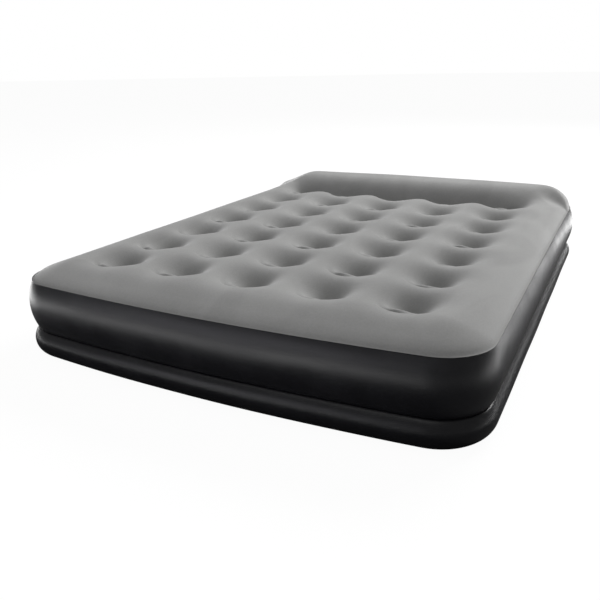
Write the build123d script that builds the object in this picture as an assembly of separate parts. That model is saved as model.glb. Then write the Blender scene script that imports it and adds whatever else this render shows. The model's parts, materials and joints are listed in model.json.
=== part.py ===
from build123d import *
import math
import os

# Raised double-tier air mattress with a built-in pillow and a built-in mains pump.
# Millimetres. Origin: centre of the base, on the floor. +Z up, +Y towards the pillow, X across the bed.

# ---------------------------------------------------------------------------- inflated bed
half_width = 760.0
half_length = 1015.0
end_bow = 42.0  # how far the middle of the foot and of the head stands out from their corners
corner_radius = 165.0
film = 1.0  # every sheet and band of the bed

crease_inset = 20.0  # depth of the groove between the tiers, and of the seam under the top sheet
lower_tier_height = 90.0  # floor to groove
upper_wall_height = 160.0  # groove to seam
crown_rise = 38.0  # seam to the top of the border
crown_run = 48.0  # seam to the top of the border, in plan
shoulder_run = 64.0  # top of the border to the flat field, in plan
field_drop = 16.0  # top of the border down to the field
pillow_rise = 62.0  # top of the border up to the pillow's crest
pillow_front_run = 165.0  # pillow's crest to its foot, in plan
pillow_front_drop = 88.0

# ---------------------------------------------------------------------------- dimples and beams
column_pitch = 247.5
row_pitch = 224.4
side_to_column = 265.0  # bed's side to the middle of the outermost dimples
foot_to_row = 285.0  # foot edge to the middle of the first row
head_to_row = 398.0  # least distance from the last row to the head edge
dimple_lip_radius = 92.0
dimple_lip_round = 58.0
dimple_wall_angle = 75.0  # degrees from level
dimple_depth = 50.0
beam_gap = 2.0  # coil beam to the edge of the dimple's floor
beam_vent_radius = 7.0
vent_radius = 25.0  # air holes in the middle sheet
lower_beam_count = 6
lower_beam_end_gap = 190.0  # end of a lower beam to the end wall
lower_beam_vent_pitch = 240.0

# ---------------------------------------------------------------------------- pump's frame, seat and tub
pump_inset = 162.0  # from where the corner starts to the middle of the pump
opening_width, opening_height, opening_corner = 174.0, 98.0, 8.0
ledge_side, ledge_level = 12.0, 8.0  # width of the ledge beside the opening, and above and below it
collar_wall = 3.0
collar_depth = 30.0
rim_depth = 20.0  # wall's outside to the ledge that the pump bears on
slide_clearance = 0.3
plate_clearance = 0.5
running_clearance = 0.05
gasket_thickness = 1.5
flange_thickness = 2.5
plate_thickness = 3.0
housing_wall = 2.4
screw_radius, screw_bite = 1.5, 6.0
screw_head_radius, screw_head_height = 3.0, 1.6
screw_from_corner = 12.0  # screw to the opening's upper or lower edge
screw_slot_width, screw_slot_length, screw_slot_depth = 0.8, 3.6, 0.7

# ---------------------------------------------------------------------------- cord tray and its lid
bay_width, bay_height, bay_depth = 68.0, 80.0, 40.0  # clear inside
bay_corner = 3.0
bay_wall = 2.0
bay_gap = 4.3  # tray to the tub's side wall
gland_radius, gland_hole = 5.0, 3.2
gland_flange, gland_flange_thickness = 2.0, 2.5
gland_tail, gland_tail_length = 1.5, 3.0
gland_from_side = 12.0
lid_clearance = 0.5
lid_thickness = 2.6
lid_proud = 0.3
lid_corner = 2.5
lid_strap_reach, lid_strap_thickness = 8.0, 1.7
lid_grip_width, lid_grip_length, lid_grip_height, lid_grip_inset = 3.0, 30.0, 2.0, 4.0
finger_notch_width, finger_notch_length, finger_notch_depth, finger_notch_shift = 8.0, 20.0, 1.5, 2.0
hinge_pin_radius = 1.0
knuckle_radius = 2.2
knuckle_gap = 0.3
knuckle_length = 12.0
ear_length = 6.0
hinge_span = 56.0
hinge_from_bay = 5.0

# ---------------------------------------------------------------------------- selector, valve and power switch
knob_gap = 2.3  # ring of air slots to the tub's wall
knob_radius = 24.0
knob_base, knob_height = 4.0, 11.0
knob_grip_width, knob_grip_inset = 12.0, 3.0
knob_lift = 0.6  # faceplate to knob
grille_inner, grille_outer = 27.0, 35.0
grille_slots = 16
grille_slot_width = 2.4
shaft_radius = 4.0
shaft_play = 1.0  # shaft to the faceplate's hole
shaft_in_knob = 5.0
shaft_tail = 6.0
valve_radius = 33.0
valve_thickness = 3.0
valve_depth = 18.0  # plate's back to the valve disc
port_inner, port_outer = 12.0, 28.0
port_span = 70.0  # degrees
seat_gap = 0.5
seat_thickness = 3.0
seal_thickness = 0.9
seal_play = 0.1
seal_step = 1.0  # seat plate's front to the middle of the O-ring

switch_gap = 1.8  # switch to the tub's lower wall
switch_length, switch_height, switch_depth = 27.0, 13.0, 12.0
switch_rim = 1.0
switch_step_length, switch_step_height = 3.0, 2.0  # snap-in part is smaller than the rim by this
switch_well = 8.0
terminal_width, terminal_height, terminal_length, terminal_x = 0.8, 5.0, 5.0, 6.0
rocker_length, rocker_height = 21.0, 8.4
rocker_end_gap, rocker_side_gap = 0.8, 0.3
rocker_tilt = 8.0  # degrees each side of level
rocker_top, rocker_base, rocker_base_half = 3.6, 4.5, 3.0
rocker_pivot_depth = 3.0
trunnion_radius, trunnion_length = 1.2, 0.7

# ---------------------------------------------------------------------------- blower and motor
volute_radius = 38.0
volute_wall = 2.4
volute_gap = 1.9  # blower casing to the tub's side wall
volute_front_gap = 2.0  # cord tray's back to the blower casing
volute_thickness = 26.0
duct_height = 20.0
duct_gap = 1.5  # blower's duct to the gland's tail
eye_radius = 14.0
impeller_radius = 31.0
impeller_thickness = 16.0
impeller_lift = 2.6
hub_radius, root_radius = 6.0, 9.0
disc_thickness = 2.0
blade_count = 9
blade_radius, blade_shift, blade_thickness = 21.7, 16.3, 1.4
motor_radius = 19.0
motor_length = 42.0
motor_wall = 1.5
motor_shaft_radius = 2.5
motor_shaft_tail = 5.0
motor_shaft_front = 8.0  # blower casing's front to the shaft's tip
bush_radius, bush_length = 5.0, 6.0
bush_seat = 2.0  # bush to the blower plate's hole
motor_screw_radius, motor_screw_x = 1.25, 11.0
motor_screw_head_radius, motor_screw_head_height, motor_screw_reach = 2.3, 1.4, 4.0
cap_thickness, cap_plug, cap_plug_wall = 4.0, 3.0, 2.0
magnet_thickness, magnet_inset, magnet_split = 4.0, 8.0, 10.0
core_radius, core_inset = 12.6, 11.0
core_slots, core_slot_width, core_slot_depth, core_slot_middle = 5, 3.0, 6.0, 10.2
drum_radius, drum_length, drum_inset = 5.0, 5.0, 5.0
brush_gap, brush_length, brush_side, brush_inset = 0.1, 7.0, 4.0, 0.5
tail_gap = 2.2  # motor shaft to the tub's end wall

# ---------------------------------------------------------------------------- supply board
board_length, board_width, board_thickness = 40.0, 50.0, 1.6
board_depth = 92.0
rib_height, rib_width, rib_reach = 4.0, 3.0, 18.0
diode_radius, diode_length, diode_pitch = 2.5, 9.0, 12.0
diode_lift = 2.0
diode_shift_x, diode_shift_y = -15.0, -8.0
capacitor_width, capacitor_length, capacitor_height, capacitor_x = 10.0, 26.0, 12.0, 14.0

# ---------------------------------------------------------------------------- outlet with its non-return flap
outlet_z = 6.0
outlet_radius = 17.0
seat_ring = 3.0
flap_radius = 20.0
flap_thickness = 2.0
flap_gap = 0.1
flap_arm = 24.0  # hinge pin above the outlet's centre
flap_arm_root = 10.0  # where the arm starts above the outlet's centre
flap_knuckle_radius = 2.6
flap_ear_gap, flap_ear_width, flap_ear_reach, flap_ear_height = 8.0, 4.0, 7.0, 6.0
flap_pin_out = 3.0  # hinge pin behind the tub's end wall
cage_width, cage_height, cage_depth = 60.0, 66.0, 48.0
cage_corner, cage_wall, cage_shift = 6.0, 2.5, 3.0
cage_slots, cage_slot_width, cage_slot_pitch = 4, 6.0, 12.5
cage_slot_end, cage_slot_margin = 7.0, 8.0

os.makedirs("parts", exist_ok=True)

# ---------------------------------------------------------------------------- bed sizes that follow
end_radius = ((half_width ** 2) + end_bow ** 2) / (2 * end_bow)
end_half_angle = math.degrees(math.asin((half_width - corner_radius) / (end_radius - corner_radius)))
end_centre_y = end_radius - half_length  # centre of the foot's arc; the head's is its mirror image
corner_x = half_width - corner_radius
corner_y = (end_radius - corner_radius) * math.cos(math.radians(end_half_angle)) - end_centre_y

lower_radius = crease_inset + lower_tier_height - math.sqrt(2 * crease_inset * lower_tier_height)
upper_radius = (crease_inset ** 2 + (upper_wall_height / 2) ** 2) / (2 * crease_inset)
wall_middle = lower_tier_height + upper_wall_height / 2
seam_height = lower_tier_height + upper_wall_height
crown_height = seam_height + crown_rise
crown_inset = crease_inset + crown_run
crown_radius = (crown_run ** 2 + crown_rise ** 2) / (2 * crown_rise)
field_height = crown_height - field_drop
shoulder_inset = crown_inset + shoulder_run
shoulder_radius = ((shoulder_run / 2) ** 2 + (field_drop / 2) ** 2) / field_drop
pillow_height = crown_height + pillow_rise
pillow_side_rise = pillow_height - seam_height
pillow_side_run = corner_radius - crease_inset
pillow_side_radius = (pillow_side_run ** 2 + pillow_side_rise ** 2) / (2 * pillow_side_rise)
pillow_front_radius = (pillow_front_run ** 2 + pillow_front_drop ** 2) / (2 * pillow_front_drop)
dimple_floor = field_height - dimple_depth
columns = 1 + math.floor(round(2 * (half_width - side_to_column) / column_pitch, 6))
rows = 1 + math.floor(round((2 * half_length - foot_to_row - head_to_row) / row_pitch, 6))

# ---------------------------------------------------------------------------- pump sizes that follow
# Pump pieces are drawn round the middle of the head wall: y = 0 on the wall's outside and positive
# outwards, x and z from the middle of the opening. place() then carries them round the bowed wall.
pump_turn = math.degrees(math.asin((corner_x - pump_inset) / end_radius))
collar_width = opening_width + 2 * (ledge_side + collar_wall)
collar_height = opening_height + 2 * (ledge_level + collar_wall)
collar_corner = opening_corner + (collar_height - opening_height) / 2 - collar_wall
pocket_width, pocket_height = collar_width - 2 * collar_wall, collar_height - 2 * collar_wall
pocket_corner = collar_corner - collar_wall
plate_width, plate_height = pocket_width - 2 * plate_clearance, pocket_height - 2 * plate_clearance
plate_corner = pocket_corner - plate_clearance
plate_back = gasket_thickness + flange_thickness - rim_depth
plate_front = plate_back + plate_thickness
housing_width = opening_width - 2 * slide_clearance
housing_height = opening_height - 2 * slide_clearance
housing_corner = opening_corner - slide_clearance
tub_half_width = housing_width / 2 - housing_wall
tub_half_height = housing_height / 2 - housing_wall
tub_corner = housing_corner - housing_wall
flange_middle = (opening_width / 2 + plate_width / 2) / 2
screw_level = opening_height / 2 - screw_from_corner
screw_places = [(side * flange_middle, level * screw_level) for side in (1, -1) for level in (1, -1)]

bay_x = tub_half_width - bay_gap - bay_wall - bay_width / 2
bay_left = bay_x - bay_width / 2
bay_right = bay_x + bay_width / 2
gland_x, gland_z = bay_left + gland_from_side, -bay_height / 2 + gland_from_side
hinge_x = bay_right + hinge_from_bay
hinge_y = plate_front + lid_proud + knuckle_radius
motor_x = -tub_half_width + volute_gap + volute_wall + volute_radius
knob_z = tub_half_height - knob_gap - grille_outer
switch_inner_length, switch_inner_height = switch_length - switch_step_length, switch_height - switch_step_height
switch_z = -tub_half_height + switch_gap + switch_inner_height / 2
seal_radius = shaft_radius + seal_play + seal_thickness
seat_left, seat_right = -tub_half_width, bay_left - bay_wall
volute_depth = bay_depth + bay_wall + volute_front_gap  # plate's back to the blower casing
duct_right = gland_x - gland_radius - gland_tail - duct_gap
motor_depth = volute_depth + volute_thickness + volute_wall
housing_depth = motor_depth + motor_length + motor_shaft_tail + tail_gap + housing_wall
outlet_x = bay_x


def arc(start, centre, radius, angle, end):
    """Round stretch from start to end, through the point at an angle (degrees) on the circle."""
    middle = (
        centre[0] + radius * math.cos(math.radians(angle)),
        centre[1] + radius * math.sin(math.radians(angle)),
    )
    return ThreePointArc(start, middle, end)


def outline_face(inset):
    """Plan outline, set in from the bed's widest line; past the corner radius its corners are sharp."""
    edges = []
    radius = end_radius - inset
    corner = corner_radius - inset
    for centre_y, facing in ((end_centre_y, -90), (-end_centre_y, 90)):
        edges += CenterArc((0, centre_y), radius, facing - end_half_angle, 2 * end_half_angle).edges()
    for side in (1, -1):
        edges += Line((side * (half_width - inset), -corner_y), (side * (half_width - inset), corner_y)).edges()
    if corner > 0:
        span = 90 - end_half_angle
        for x, y, begin in (
            (corner_x, -corner_y, -span),
            (corner_x, corner_y, 0),
            (-corner_x, corner_y, 180 - span),
            (-corner_x, -corner_y, 180),
        ):
            edges += CenterArc((x, y), corner, begin, span).edges()
    return Face(Wire(edges))


def slab(inset, bottom, top):
    """Flat plate of the plan outline."""
    return extrude(Pos(0, 0, bottom) * outline_face(inset), amount=top - bottom, dir=(0, 0, 1))


def round_the_bed(profile):
    """Carries a profile round the outline. Its x is 0 at the bed's widest line and negative inside it."""
    upright = Plane.XZ * profile
    span = 90 - end_half_angle
    end = revolve(Pos(end_radius, 0, 0) * upright, Axis.Z, 2 * end_half_angle)
    corner = revolve(Pos(corner_radius, 0, 0) * upright, Axis.Z, span)
    side = extrude(Pos(half_width, corner_y, 0) * upright, amount=2 * corner_y, dir=(0, -1, 0))
    quarter_turns = [
        Pos(0, end_centre_y, 0) * Rot(0, 0, -90 - end_half_angle) * end,
        side,
        Pos(corner_x, -corner_y, 0) * Rot(0, 0, -span) * corner,
        Pos(corner_x, corner_y, 0) * corner,
    ]
    pieces = quarter_turns + [Rot(0, 0, 180) * piece for piece in quarter_turns]
    return pieces[0].fuse(*pieces[1:])


def filled(*edges):
    """Face inside a closed run of edges."""
    return make_face(edges)


# ---------------------------------------------------------------------------- side bands and flat sheets
def lower_band():
    """Wall of the lower tier, from the bottom sheet's edge to the groove."""
    centre = (-lower_radius, lower_radius)
    inner = lower_radius - film
    top = lower_tier_height - film / 2
    rise = top - lower_radius
    outer_end = (-lower_radius + math.sqrt(lower_radius ** 2 - rise ** 2), top)
    inner_end = (-lower_radius + math.sqrt(inner ** 2 - rise ** 2), top)
    return round_the_bed(
        filled(
            arc((-lower_radius, 0), centre, lower_radius, 0, outer_end),
            Line(outer_end, inner_end),
            arc(inner_end, centre, inner, 0, (-lower_radius, film)),
            Line((-lower_radius, film), (-lower_radius, 0)),
        )
    )


def upper_band_profile(radius, bottom, top):
    """Ends of the upper wall's arc of one radius at two levels."""
    points = []
    for level in (bottom, top):
        rise = level - wall_middle
        points.append((-upper_radius + math.sqrt(radius ** 2 - rise ** 2), level))
    return points


def upper_band():
    """Wall of the upper tier, from the groove to the seam under the top sheet."""
    centre = (-upper_radius, wall_middle)
    bottom = lower_tier_height + film / 2
    outer = upper_band_profile(upper_radius, bottom, seam_height)
    inner = upper_band_profile(upper_radius - film, bottom, seam_height)
    return round_the_bed(
        filled(
            arc(outer[0], centre, upper_radius, 0, outer[1]),
            Line(outer[1], inner[1]),
            arc(inner[1], centre, upper_radius - film, 0, inner[0]),
            Line(inner[0], outer[0]),
        )
    )


def dimple_centres():
    """Plan positions of the dimples, and of the coil beams under them."""
    middle = (columns - 1) / 2
    return [
        ((column - middle) * column_pitch, -half_length + foot_to_row + row * row_pitch)
        for row in range(rows)
        for column in range(columns)
    ]


def dimple_void(skin, top):
    """Space over a dimple, down to the sheet's outside (skin 0) or its inside (skin = film)."""
    angle = math.radians(dimple_wall_angle)
    turn = dimple_lip_round - skin
    lip = (dimple_lip_radius, field_height - skin)
    centre = (dimple_lip_radius, field_height - dimple_lip_round)
    arc_end = (centre[0] - turn * math.sin(angle), centre[1] + turn * math.cos(angle))
    floor = dimple_floor - skin
    floor_radius = arc_end[0] - (arc_end[1] - floor) / math.tan(angle)
    rim = (dimple_lip_radius + skin, lip[1])
    profile = filled(
        Line((0, floor), (floor_radius, floor)),
        Line((floor_radius, floor), arc_end),
        arc(arc_end, centre, turn, 90 + dimple_wall_angle / 2, lip),
        *([Line(lip, rim)] if skin else []),
        Line(rim, (rim[0], top)),
        Line((rim[0], top), (0, top)),
        Line((0, top), (0, floor)),
    )
    return revolve(Plane.XZ * profile, Axis.Z, 360), floor_radius


def crown_profile(skin, bottom):
    """Border of the top sheet, filled down to a level: up from the seam, over the crown, down to the field."""
    rise = bottom - (crown_height - crown_radius)
    turn = crown_radius - skin
    foot = (-crown_inset + math.sqrt(turn ** 2 - rise ** 2), bottom)
    crown = (-crown_inset, crown_height - skin)
    half_turn = math.asin(shoulder_run / 2 / shoulder_radius)
    out = shoulder_radius - skin
    over = (-crown_inset - out * math.sin(half_turn), crown_height - shoulder_radius + out * math.cos(half_turn))
    field = (-shoulder_inset, field_height - skin)
    start_angle = math.degrees(math.atan2(rise, foot[0] + crown_inset))
    return filled(
        arc(foot, (-crown_inset, crown_height - crown_radius), turn, (start_angle + 90) / 2, crown),
        arc(crown, (-crown_inset, crown_height - shoulder_radius), out, 90 + math.degrees(half_turn) / 2, over),
        arc(
            over,
            (-shoulder_inset, field_height + shoulder_radius),
            shoulder_radius + skin,
            -90 + math.degrees(half_turn) / 2,
            field,
        ),
        Line(field, (-shoulder_inset, bottom)),
        Line((-shoulder_inset, bottom), foot),
    )


def pillow_profile(skin, bottom):
    """Pillow's round sides, filled down to a level: up from the seam to the crest above the corner's centre."""
    centre_z = pillow_height - pillow_side_radius
    rise = bottom - centre_z
    turn = pillow_side_radius - skin
    foot = (-corner_radius + math.sqrt(turn ** 2 - rise ** 2), bottom)
    crest = (-corner_radius, pillow_height - skin)
    start_angle = math.degrees(math.atan2(rise, foot[0] + corner_radius))
    return filled(
        arc(foot, (-corner_radius, centre_z), turn, (start_angle + 90) / 2, crest),
        Line(crest, (-corner_radius, bottom)),
        Line((-corner_radius, bottom), foot),
    )


def pillow_front(skin, bottom):
    """Everything behind the pillow's sloping front."""
    crest_y = half_length - corner_radius
    centre = (crest_y, pillow_height - pillow_front_radius)
    turn = pillow_front_radius - skin
    rise = bottom - centre[1]
    reach = math.sqrt(turn ** 2 - rise ** 2)
    foot = (crest_y - reach, bottom)
    crest = (crest_y, pillow_height - skin)
    behind = half_length + film
    start_angle = math.degrees(math.atan2(rise, -reach))
    section = filled(
        arc(foot, centre, turn, (start_angle + 90) / 2, crest),
        Line(crest, (behind, crest[1])),
        Line((behind, crest[1]), (behind, bottom)),
        Line((behind, bottom), foot),
    )
    return extrude(Pos(-half_width, 0, 0) * (Plane.YZ * section), amount=2 * half_width, dir=(1, 0, 0))


def top_volume(skin, bottom):
    """All that the top sheet encloses, inside its outer face (skin 0) or its inner one.

    The border and the pillow are filled down to a level, and the field to below the dimples.
    """
    border = round_the_bed(crown_profile(skin, bottom))
    field = slab(shoulder_inset, dimple_floor - film - 2 * skin, field_height - skin)
    front = pillow_front(skin, bottom)
    sides = round_the_bed(pillow_profile(skin, bottom)).intersect(front)
    pillow = slab(corner_radius, bottom, pillow_height - skin).intersect(front)
    whole = border.fuse(field, *sides.solids(), *pillow.solids())
    last_row_y = -half_length + foot_to_row + (rows - 1) * row_pitch
    low_void, _ = dimple_void(skin, field_height + film)
    tall_void, _ = dimple_void(skin, pillow_height)
    voids = [
        Pos(x, y, 0) * (tall_void if y > last_row_y - row_pitch / 2 else low_void) for x, y in dimple_centres()
    ]
    return whole.cut(*voids)


def top_sheet():
    """Flocked sleeping surface with its border, dimples and pillow, one sheet thick."""
    return top_volume(0, seam_height).cut(top_volume(film, seam_height - film))


def coil_beams():
    """One vented tube from each dimple's floor down to the middle sheet."""
    _, floor_radius = dimple_void(0, pillow_height)
    radius = floor_radius - beam_gap
    bottom = lower_tier_height + film / 2
    height = dimple_floor - film - bottom
    wall = Cylinder(radius, height) - Cylinder(radius - film, height)
    for turn in range(0, 180, 90):
        wall -= Rot(0, 0, turn) * Rot(90, 0, 0) * Cylinder(beam_vent_radius, 3 * radius)
    return [Pos(x, y, bottom + height / 2) * wall for x, y in dimple_centres()]


def middle_sheet():
    """Sheet between the tiers, its edge in the groove, with air holes between the beams."""
    sheet = slab(crease_inset, lower_tier_height - film / 2, lower_tier_height + film / 2)
    hole = Cylinder(vent_radius, 4 * film)
    middle = (columns - 1) / 2
    holes = [
        Pos((column - middle + 0.5) * column_pitch, -half_length + foot_to_row + (row + 0.5) * row_pitch,
            lower_tier_height) * hole
        for row in range(0, rows - 1, 2)
        for column in range(columns - 1)
    ]
    return sheet.cut(*holes)


def bottom_sheet():
    """Sheet that lies on the floor."""
    return slab(lower_radius, 0, film)


def lower_beams():
    """Upright strips that tie the middle sheet to the bottom one, with vents along them."""
    length = 2 * (half_length - lower_beam_end_gap)
    height = lower_tier_height - film / 2 - film
    strip = Box(film, length, height)
    vents = int(length / lower_beam_vent_pitch)
    for index in range(vents):
        y = (index - (vents - 1) / 2) * lower_beam_vent_pitch
        strip -= Pos(0, y, 0) * Rot(0, 90, 0) * Cylinder(height / 4, 4 * film)
    pitch = 2 * corner_x / (lower_beam_count - 1)
    return [
        Pos((index - (lower_beam_count - 1) / 2) * pitch, 0, film + height / 2) * strip
        for index in range(lower_beam_count)
    ]


# ---------------------------------------------------------------------------- pump
def place(shape):
    """Carries a pump piece from the middle of the head wall to its own place round the bow."""
    turn = Pos(0, -end_centre_y, 0) * Rot(0, 0, pump_turn) * Pos(0, end_centre_y, 0)
    return turn * Pos(0, half_length, wall_middle) * shape


def panel(width, height, corner, back, front, x=0.0, z=0.0):
    """Rounded rectangular block between two depths."""
    return Pos(x, front, z) * extrude(Plane.XZ * RectangleRounded(width, height, corner), amount=front - back)


def rod(radius, back, front, x=0.0, z=0.0):
    """Cylinder along y between two depths."""
    return Pos(x, (back + front) / 2, z) * Rot(90, 0, 0) * Cylinder(radius, front - back)


def cross_rod(radius, length, x, y, z):
    """Cylinder along x."""
    return Pos(x, y, z) * Rot(0, 90, 0) * Cylinder(radius, length)


def at_depth(depth):
    """Local y at a distance behind the faceplate."""
    return plate_back - depth


seat_front = at_depth(valve_depth + valve_thickness + seat_gap)
motor_front = at_depth(motor_depth)
motor_back = motor_front - motor_length
housing_end = at_depth(housing_depth)
flap_hinge_y = housing_end - flap_pin_out
flap_hinge_z = outlet_z + flap_arm
board_y = at_depth(board_depth)
board_z = -tub_half_height + rib_height
tray_back = at_depth(bay_depth)


def wall_space():
    """Everything inside the upper wall's outer face, near the pump."""
    half = upper_wall_height / 2
    inner = -3 * collar_depth
    profile = filled(
        ThreePointArc((-crease_inset, -half), (0, 0), (-crease_inset, half)),
        Line((-crease_inset, half), (inner, half)),
        Line((inner, half), (inner, -half)),
        Line((inner, -half), (-crease_inset, -half)),
    )
    reach = math.degrees(collar_width / end_radius)
    arc_wall = revolve(Pos(end_radius, 0, 0) * Plane.XZ * profile, Axis.Z, 2 * reach)
    return Pos(0, -end_radius, 0) * Rot(0, 0, 90 - reach) * arc_wall


def collar():
    """Moulded frame welded into the wall: its front follows the wall, and its ledge carries the pump."""
    frame = panel(collar_width, collar_height, collar_corner, -collar_depth, crease_inset) & wall_space()
    frame -= panel(pocket_width, pocket_height, pocket_corner, -rim_depth, crease_inset)
    frame -= panel(opening_width, opening_height, opening_corner, -2 * collar_depth, crease_inset)
    for x, z in screw_places:
        frame -= rod(screw_radius, -rim_depth - screw_bite, crease_inset, x, z)
    return frame


def flange_ring(back, front):
    """Ring on the ledge, round the pump's opening, with the screw holes."""
    ring = panel(plate_width, plate_height, plate_corner, back, front)
    for x, z in screw_places:
        ring -= rod(screw_radius + running_clearance, back, front, x, z)
    return ring


def gasket():
    """Soft ring between the ledge and the pump's flange."""
    back, front = -rim_depth, -rim_depth + gasket_thickness
    return flange_ring(back, front) - panel(opening_width, opening_height, opening_corner, back, front)


def housing():
    """Tub that holds the whole pump inside the bed, with the outlet and the flap's ears at its far end."""
    tub = panel(housing_width, housing_height, housing_corner, housing_end, plate_back)
    tub += flange_ring(plate_back - flange_thickness, plate_back)
    tub -= panel(2 * tub_half_width, 2 * tub_half_height, tub_corner, housing_end + housing_wall, plate_back)
    tub -= rod(outlet_radius, housing_end - 1, housing_end + 2 * housing_wall, outlet_x, outlet_z)
    for side in (1, -1):
        rib = Box(rib_width, board_length, rib_height)
        tub += Pos(outlet_x + side * rib_reach, board_y, board_z - rib_height / 2) * rib
        x = outlet_x + side * (flap_ear_gap + flap_ear_width / 2)
        ear = Box(flap_ear_width, flap_ear_reach, flap_ear_height)
        tub += Pos(x, housing_end - flap_ear_reach / 2, flap_hinge_z) * ear
        tub -= cross_rod(hinge_pin_radius, 3 * flap_ear_width, x, flap_hinge_y, flap_hinge_z)
    return tub


def faceplate():
    """Visible panel: cord tray's mouth, knob hole with its ring of air slots, switch hole and lid ears."""
    plate = panel(plate_width, plate_height, plate_corner, plate_back, plate_front)
    plate -= panel(bay_width, bay_height, bay_corner, plate_back, plate_front, bay_x)
    plate -= rod(shaft_radius + shaft_play, plate_back, plate_front, motor_x, knob_z)
    slot_length = grille_outer - grille_inner
    slot = panel(grille_slot_width, slot_length, 0.45 * grille_slot_width, plate_back, plate_front, 0,
                 (grille_inner + grille_outer) / 2)
    for index in range(grille_slots):
        plate -= Pos(motor_x, 0, knob_z) * Rot(0, index * 360 / grille_slots, 0) * slot
    plate -= panel(switch_inner_length, switch_inner_height, switch_rim, plate_back, plate_front, motor_x, switch_z)
    plate -= panel(finger_notch_width, finger_notch_length, bay_corner, plate_front - finger_notch_depth,
                   plate_front, bay_left - finger_notch_shift)
    for x, z in screw_places:
        plate -= rod(screw_radius + running_clearance, plate_back, plate_front, x, z)
    for side in (1, -1):
        z = side * (hinge_span / 2 + ear_length / 2)
        plate += Pos(hinge_x, hinge_y, z) * Cylinder(knuckle_radius, ear_length)
        foot = Box(2 * knuckle_radius, hinge_y - plate_front, ear_length)
        plate += Pos(hinge_x, (plate_front + hinge_y) / 2, z) * foot
    return plate - lid_hinge_pin()


def faceplate_screws():
    """Four pan-head screws through plate and flange into the collar."""
    head_top = plate_front + screw_head_height
    screw = rod(screw_radius, -rim_depth - screw_bite, plate_front) + rod(screw_head_radius, plate_front, head_top)
    screw -= Pos(0, head_top, 0) * Box(screw_slot_width, 2 * screw_slot_depth, screw_slot_length)
    screw -= Pos(0, head_top, 0) * Box(screw_slot_length, 2 * screw_slot_depth, screw_slot_width)
    return [Pos(x, 0, z) * screw for x, z in screw_places]


def cord_bay():
    """Tray that the mains lead is stowed in."""
    outer = panel(bay_width + 2 * bay_wall, bay_height + 2 * bay_wall, bay_corner + bay_wall, tray_back - bay_wall,
                  plate_back, bay_x)
    tray = outer - panel(bay_width, bay_height, bay_corner, tray_back, plate_back, bay_x)
    return tray - rod(gland_radius, tray_back - bay_wall, tray_back, gland_x, gland_z)


def cord_gland():
    """Flanged rubber bush in the tray's back wall, for the mains lead."""
    behind = tray_back - bay_wall
    tail_end, flange_front = behind - gland_tail_length, tray_back + gland_flange_thickness
    bush = rod(gland_radius, behind, tray_back, gland_x, gland_z)
    bush += rod(gland_radius + gland_flange, tray_back, flange_front, gland_x, gland_z)
    bush += rod(gland_radius + gland_tail, tail_end, behind, gland_x, gland_z)
    return bush - rod(gland_hole, tail_end, flange_front, gland_x, gland_z)


def cord_lid():
    """Door over the cord tray, with its two hinge knuckles and a finger edge."""
    front = plate_front + lid_proud
    width, height = bay_width - 2 * lid_clearance, bay_height - 2 * lid_clearance
    lid = panel(width, height, lid_corner, front - lid_thickness, front, bay_x)
    strap_left = bay_right - lid_strap_reach
    strap = Box(hinge_x - strap_left, lid_strap_thickness, knuckle_length)
    for side in (1, -1):
        z = side * (hinge_span / 2 - knuckle_length / 2 - knuckle_gap)
        lid += Pos((hinge_x + strap_left) / 2, front + lid_strap_thickness / 2, z) * strap
        lid += Pos(hinge_x, hinge_y, z) * Cylinder(knuckle_radius, knuckle_length)
    grip_x = bay_x - width / 2 + lid_grip_inset
    lid += panel(lid_grip_width, lid_grip_length, 0.45 * lid_grip_width, front, front + lid_grip_height, grip_x)
    return lid - Pos(hinge_x, hinge_y, 0) * Cylinder(hinge_pin_radius + running_clearance, hinge_span)


def lid_hinge_pin():
    """Pin through the plate's ears and the lid's knuckles."""
    return Pos(hinge_x, hinge_y, 0) * Cylinder(hinge_pin_radius, hinge_span + 2 * ear_length)


def selector_knob():
    """Inflate, off and deflate knob with a grip bar."""
    back = plate_front + knob_lift
    knob = rod(knob_radius, back, back + knob_base, motor_x, knob_z)
    knob += panel(knob_grip_width, 2 * (knob_radius - knob_grip_inset), 0.4 * knob_grip_width, back + knob_base,
                  back + knob_height, motor_x, knob_z)
    return knob - rod(shaft_radius, back, back + shaft_in_knob, motor_x, knob_z)


def selector_shaft():
    """Shaft from the knob to the valve disc and through the seat plate."""
    back = at_depth(valve_depth + valve_thickness + shaft_tail)
    return rod(shaft_radius, back, plate_front + knob_lift + shaft_in_knob, motor_x, knob_z)


def port(back, front):
    """Ring sector that air passes through, centred on the valve's axis and open towards +x."""
    ring = rod(port_outer, back, front) - rod(port_inner, back, front)
    reach = 2 * port_outer
    rise = reach * math.tan(math.radians(port_span / 2))
    wedge = Polygon((0, 0), (reach, -rise), (reach, rise), align=None)
    return ring & (Pos(0, front, 0) * extrude(Plane.XZ * wedge, amount=front - back))


def valve_disc():
    """Rotary changeover disc with two opposite ports."""
    back, front = at_depth(valve_depth + valve_thickness), at_depth(valve_depth)
    disc = rod(valve_radius, back, front) - rod(shaft_radius, back, front)
    for turn in (0, 180):
        disc -= Rot(0, turn, 0) * port(back, front)
    return Pos(motor_x, 0, knob_z) * disc


def seat_plate():
    """Fixed partition behind the valve disc, with matching ports and the shaft's bearing."""
    back = seat_front - seat_thickness
    plate = panel(seat_right - seat_left, 2 * tub_half_height, tub_corner, back, seat_front,
                  (seat_left + seat_right) / 2)
    for turn in (90, 270):
        plate -= Pos(motor_x, 0, knob_z) * Rot(0, turn, 0) * port(back, seat_front)
    plate -= rod(shaft_radius + running_clearance, back, seat_front, motor_x, knob_z)
    return plate - rod(seal_radius + seal_thickness, back + seal_step, seat_front, motor_x, knob_z)


def shaft_seal():
    """O-ring round the selector shaft."""
    return Pos(motor_x, seat_front - seal_step, knob_z) * Rot(90, 0, 0) * Torus(seal_radius, seal_thickness)


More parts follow.
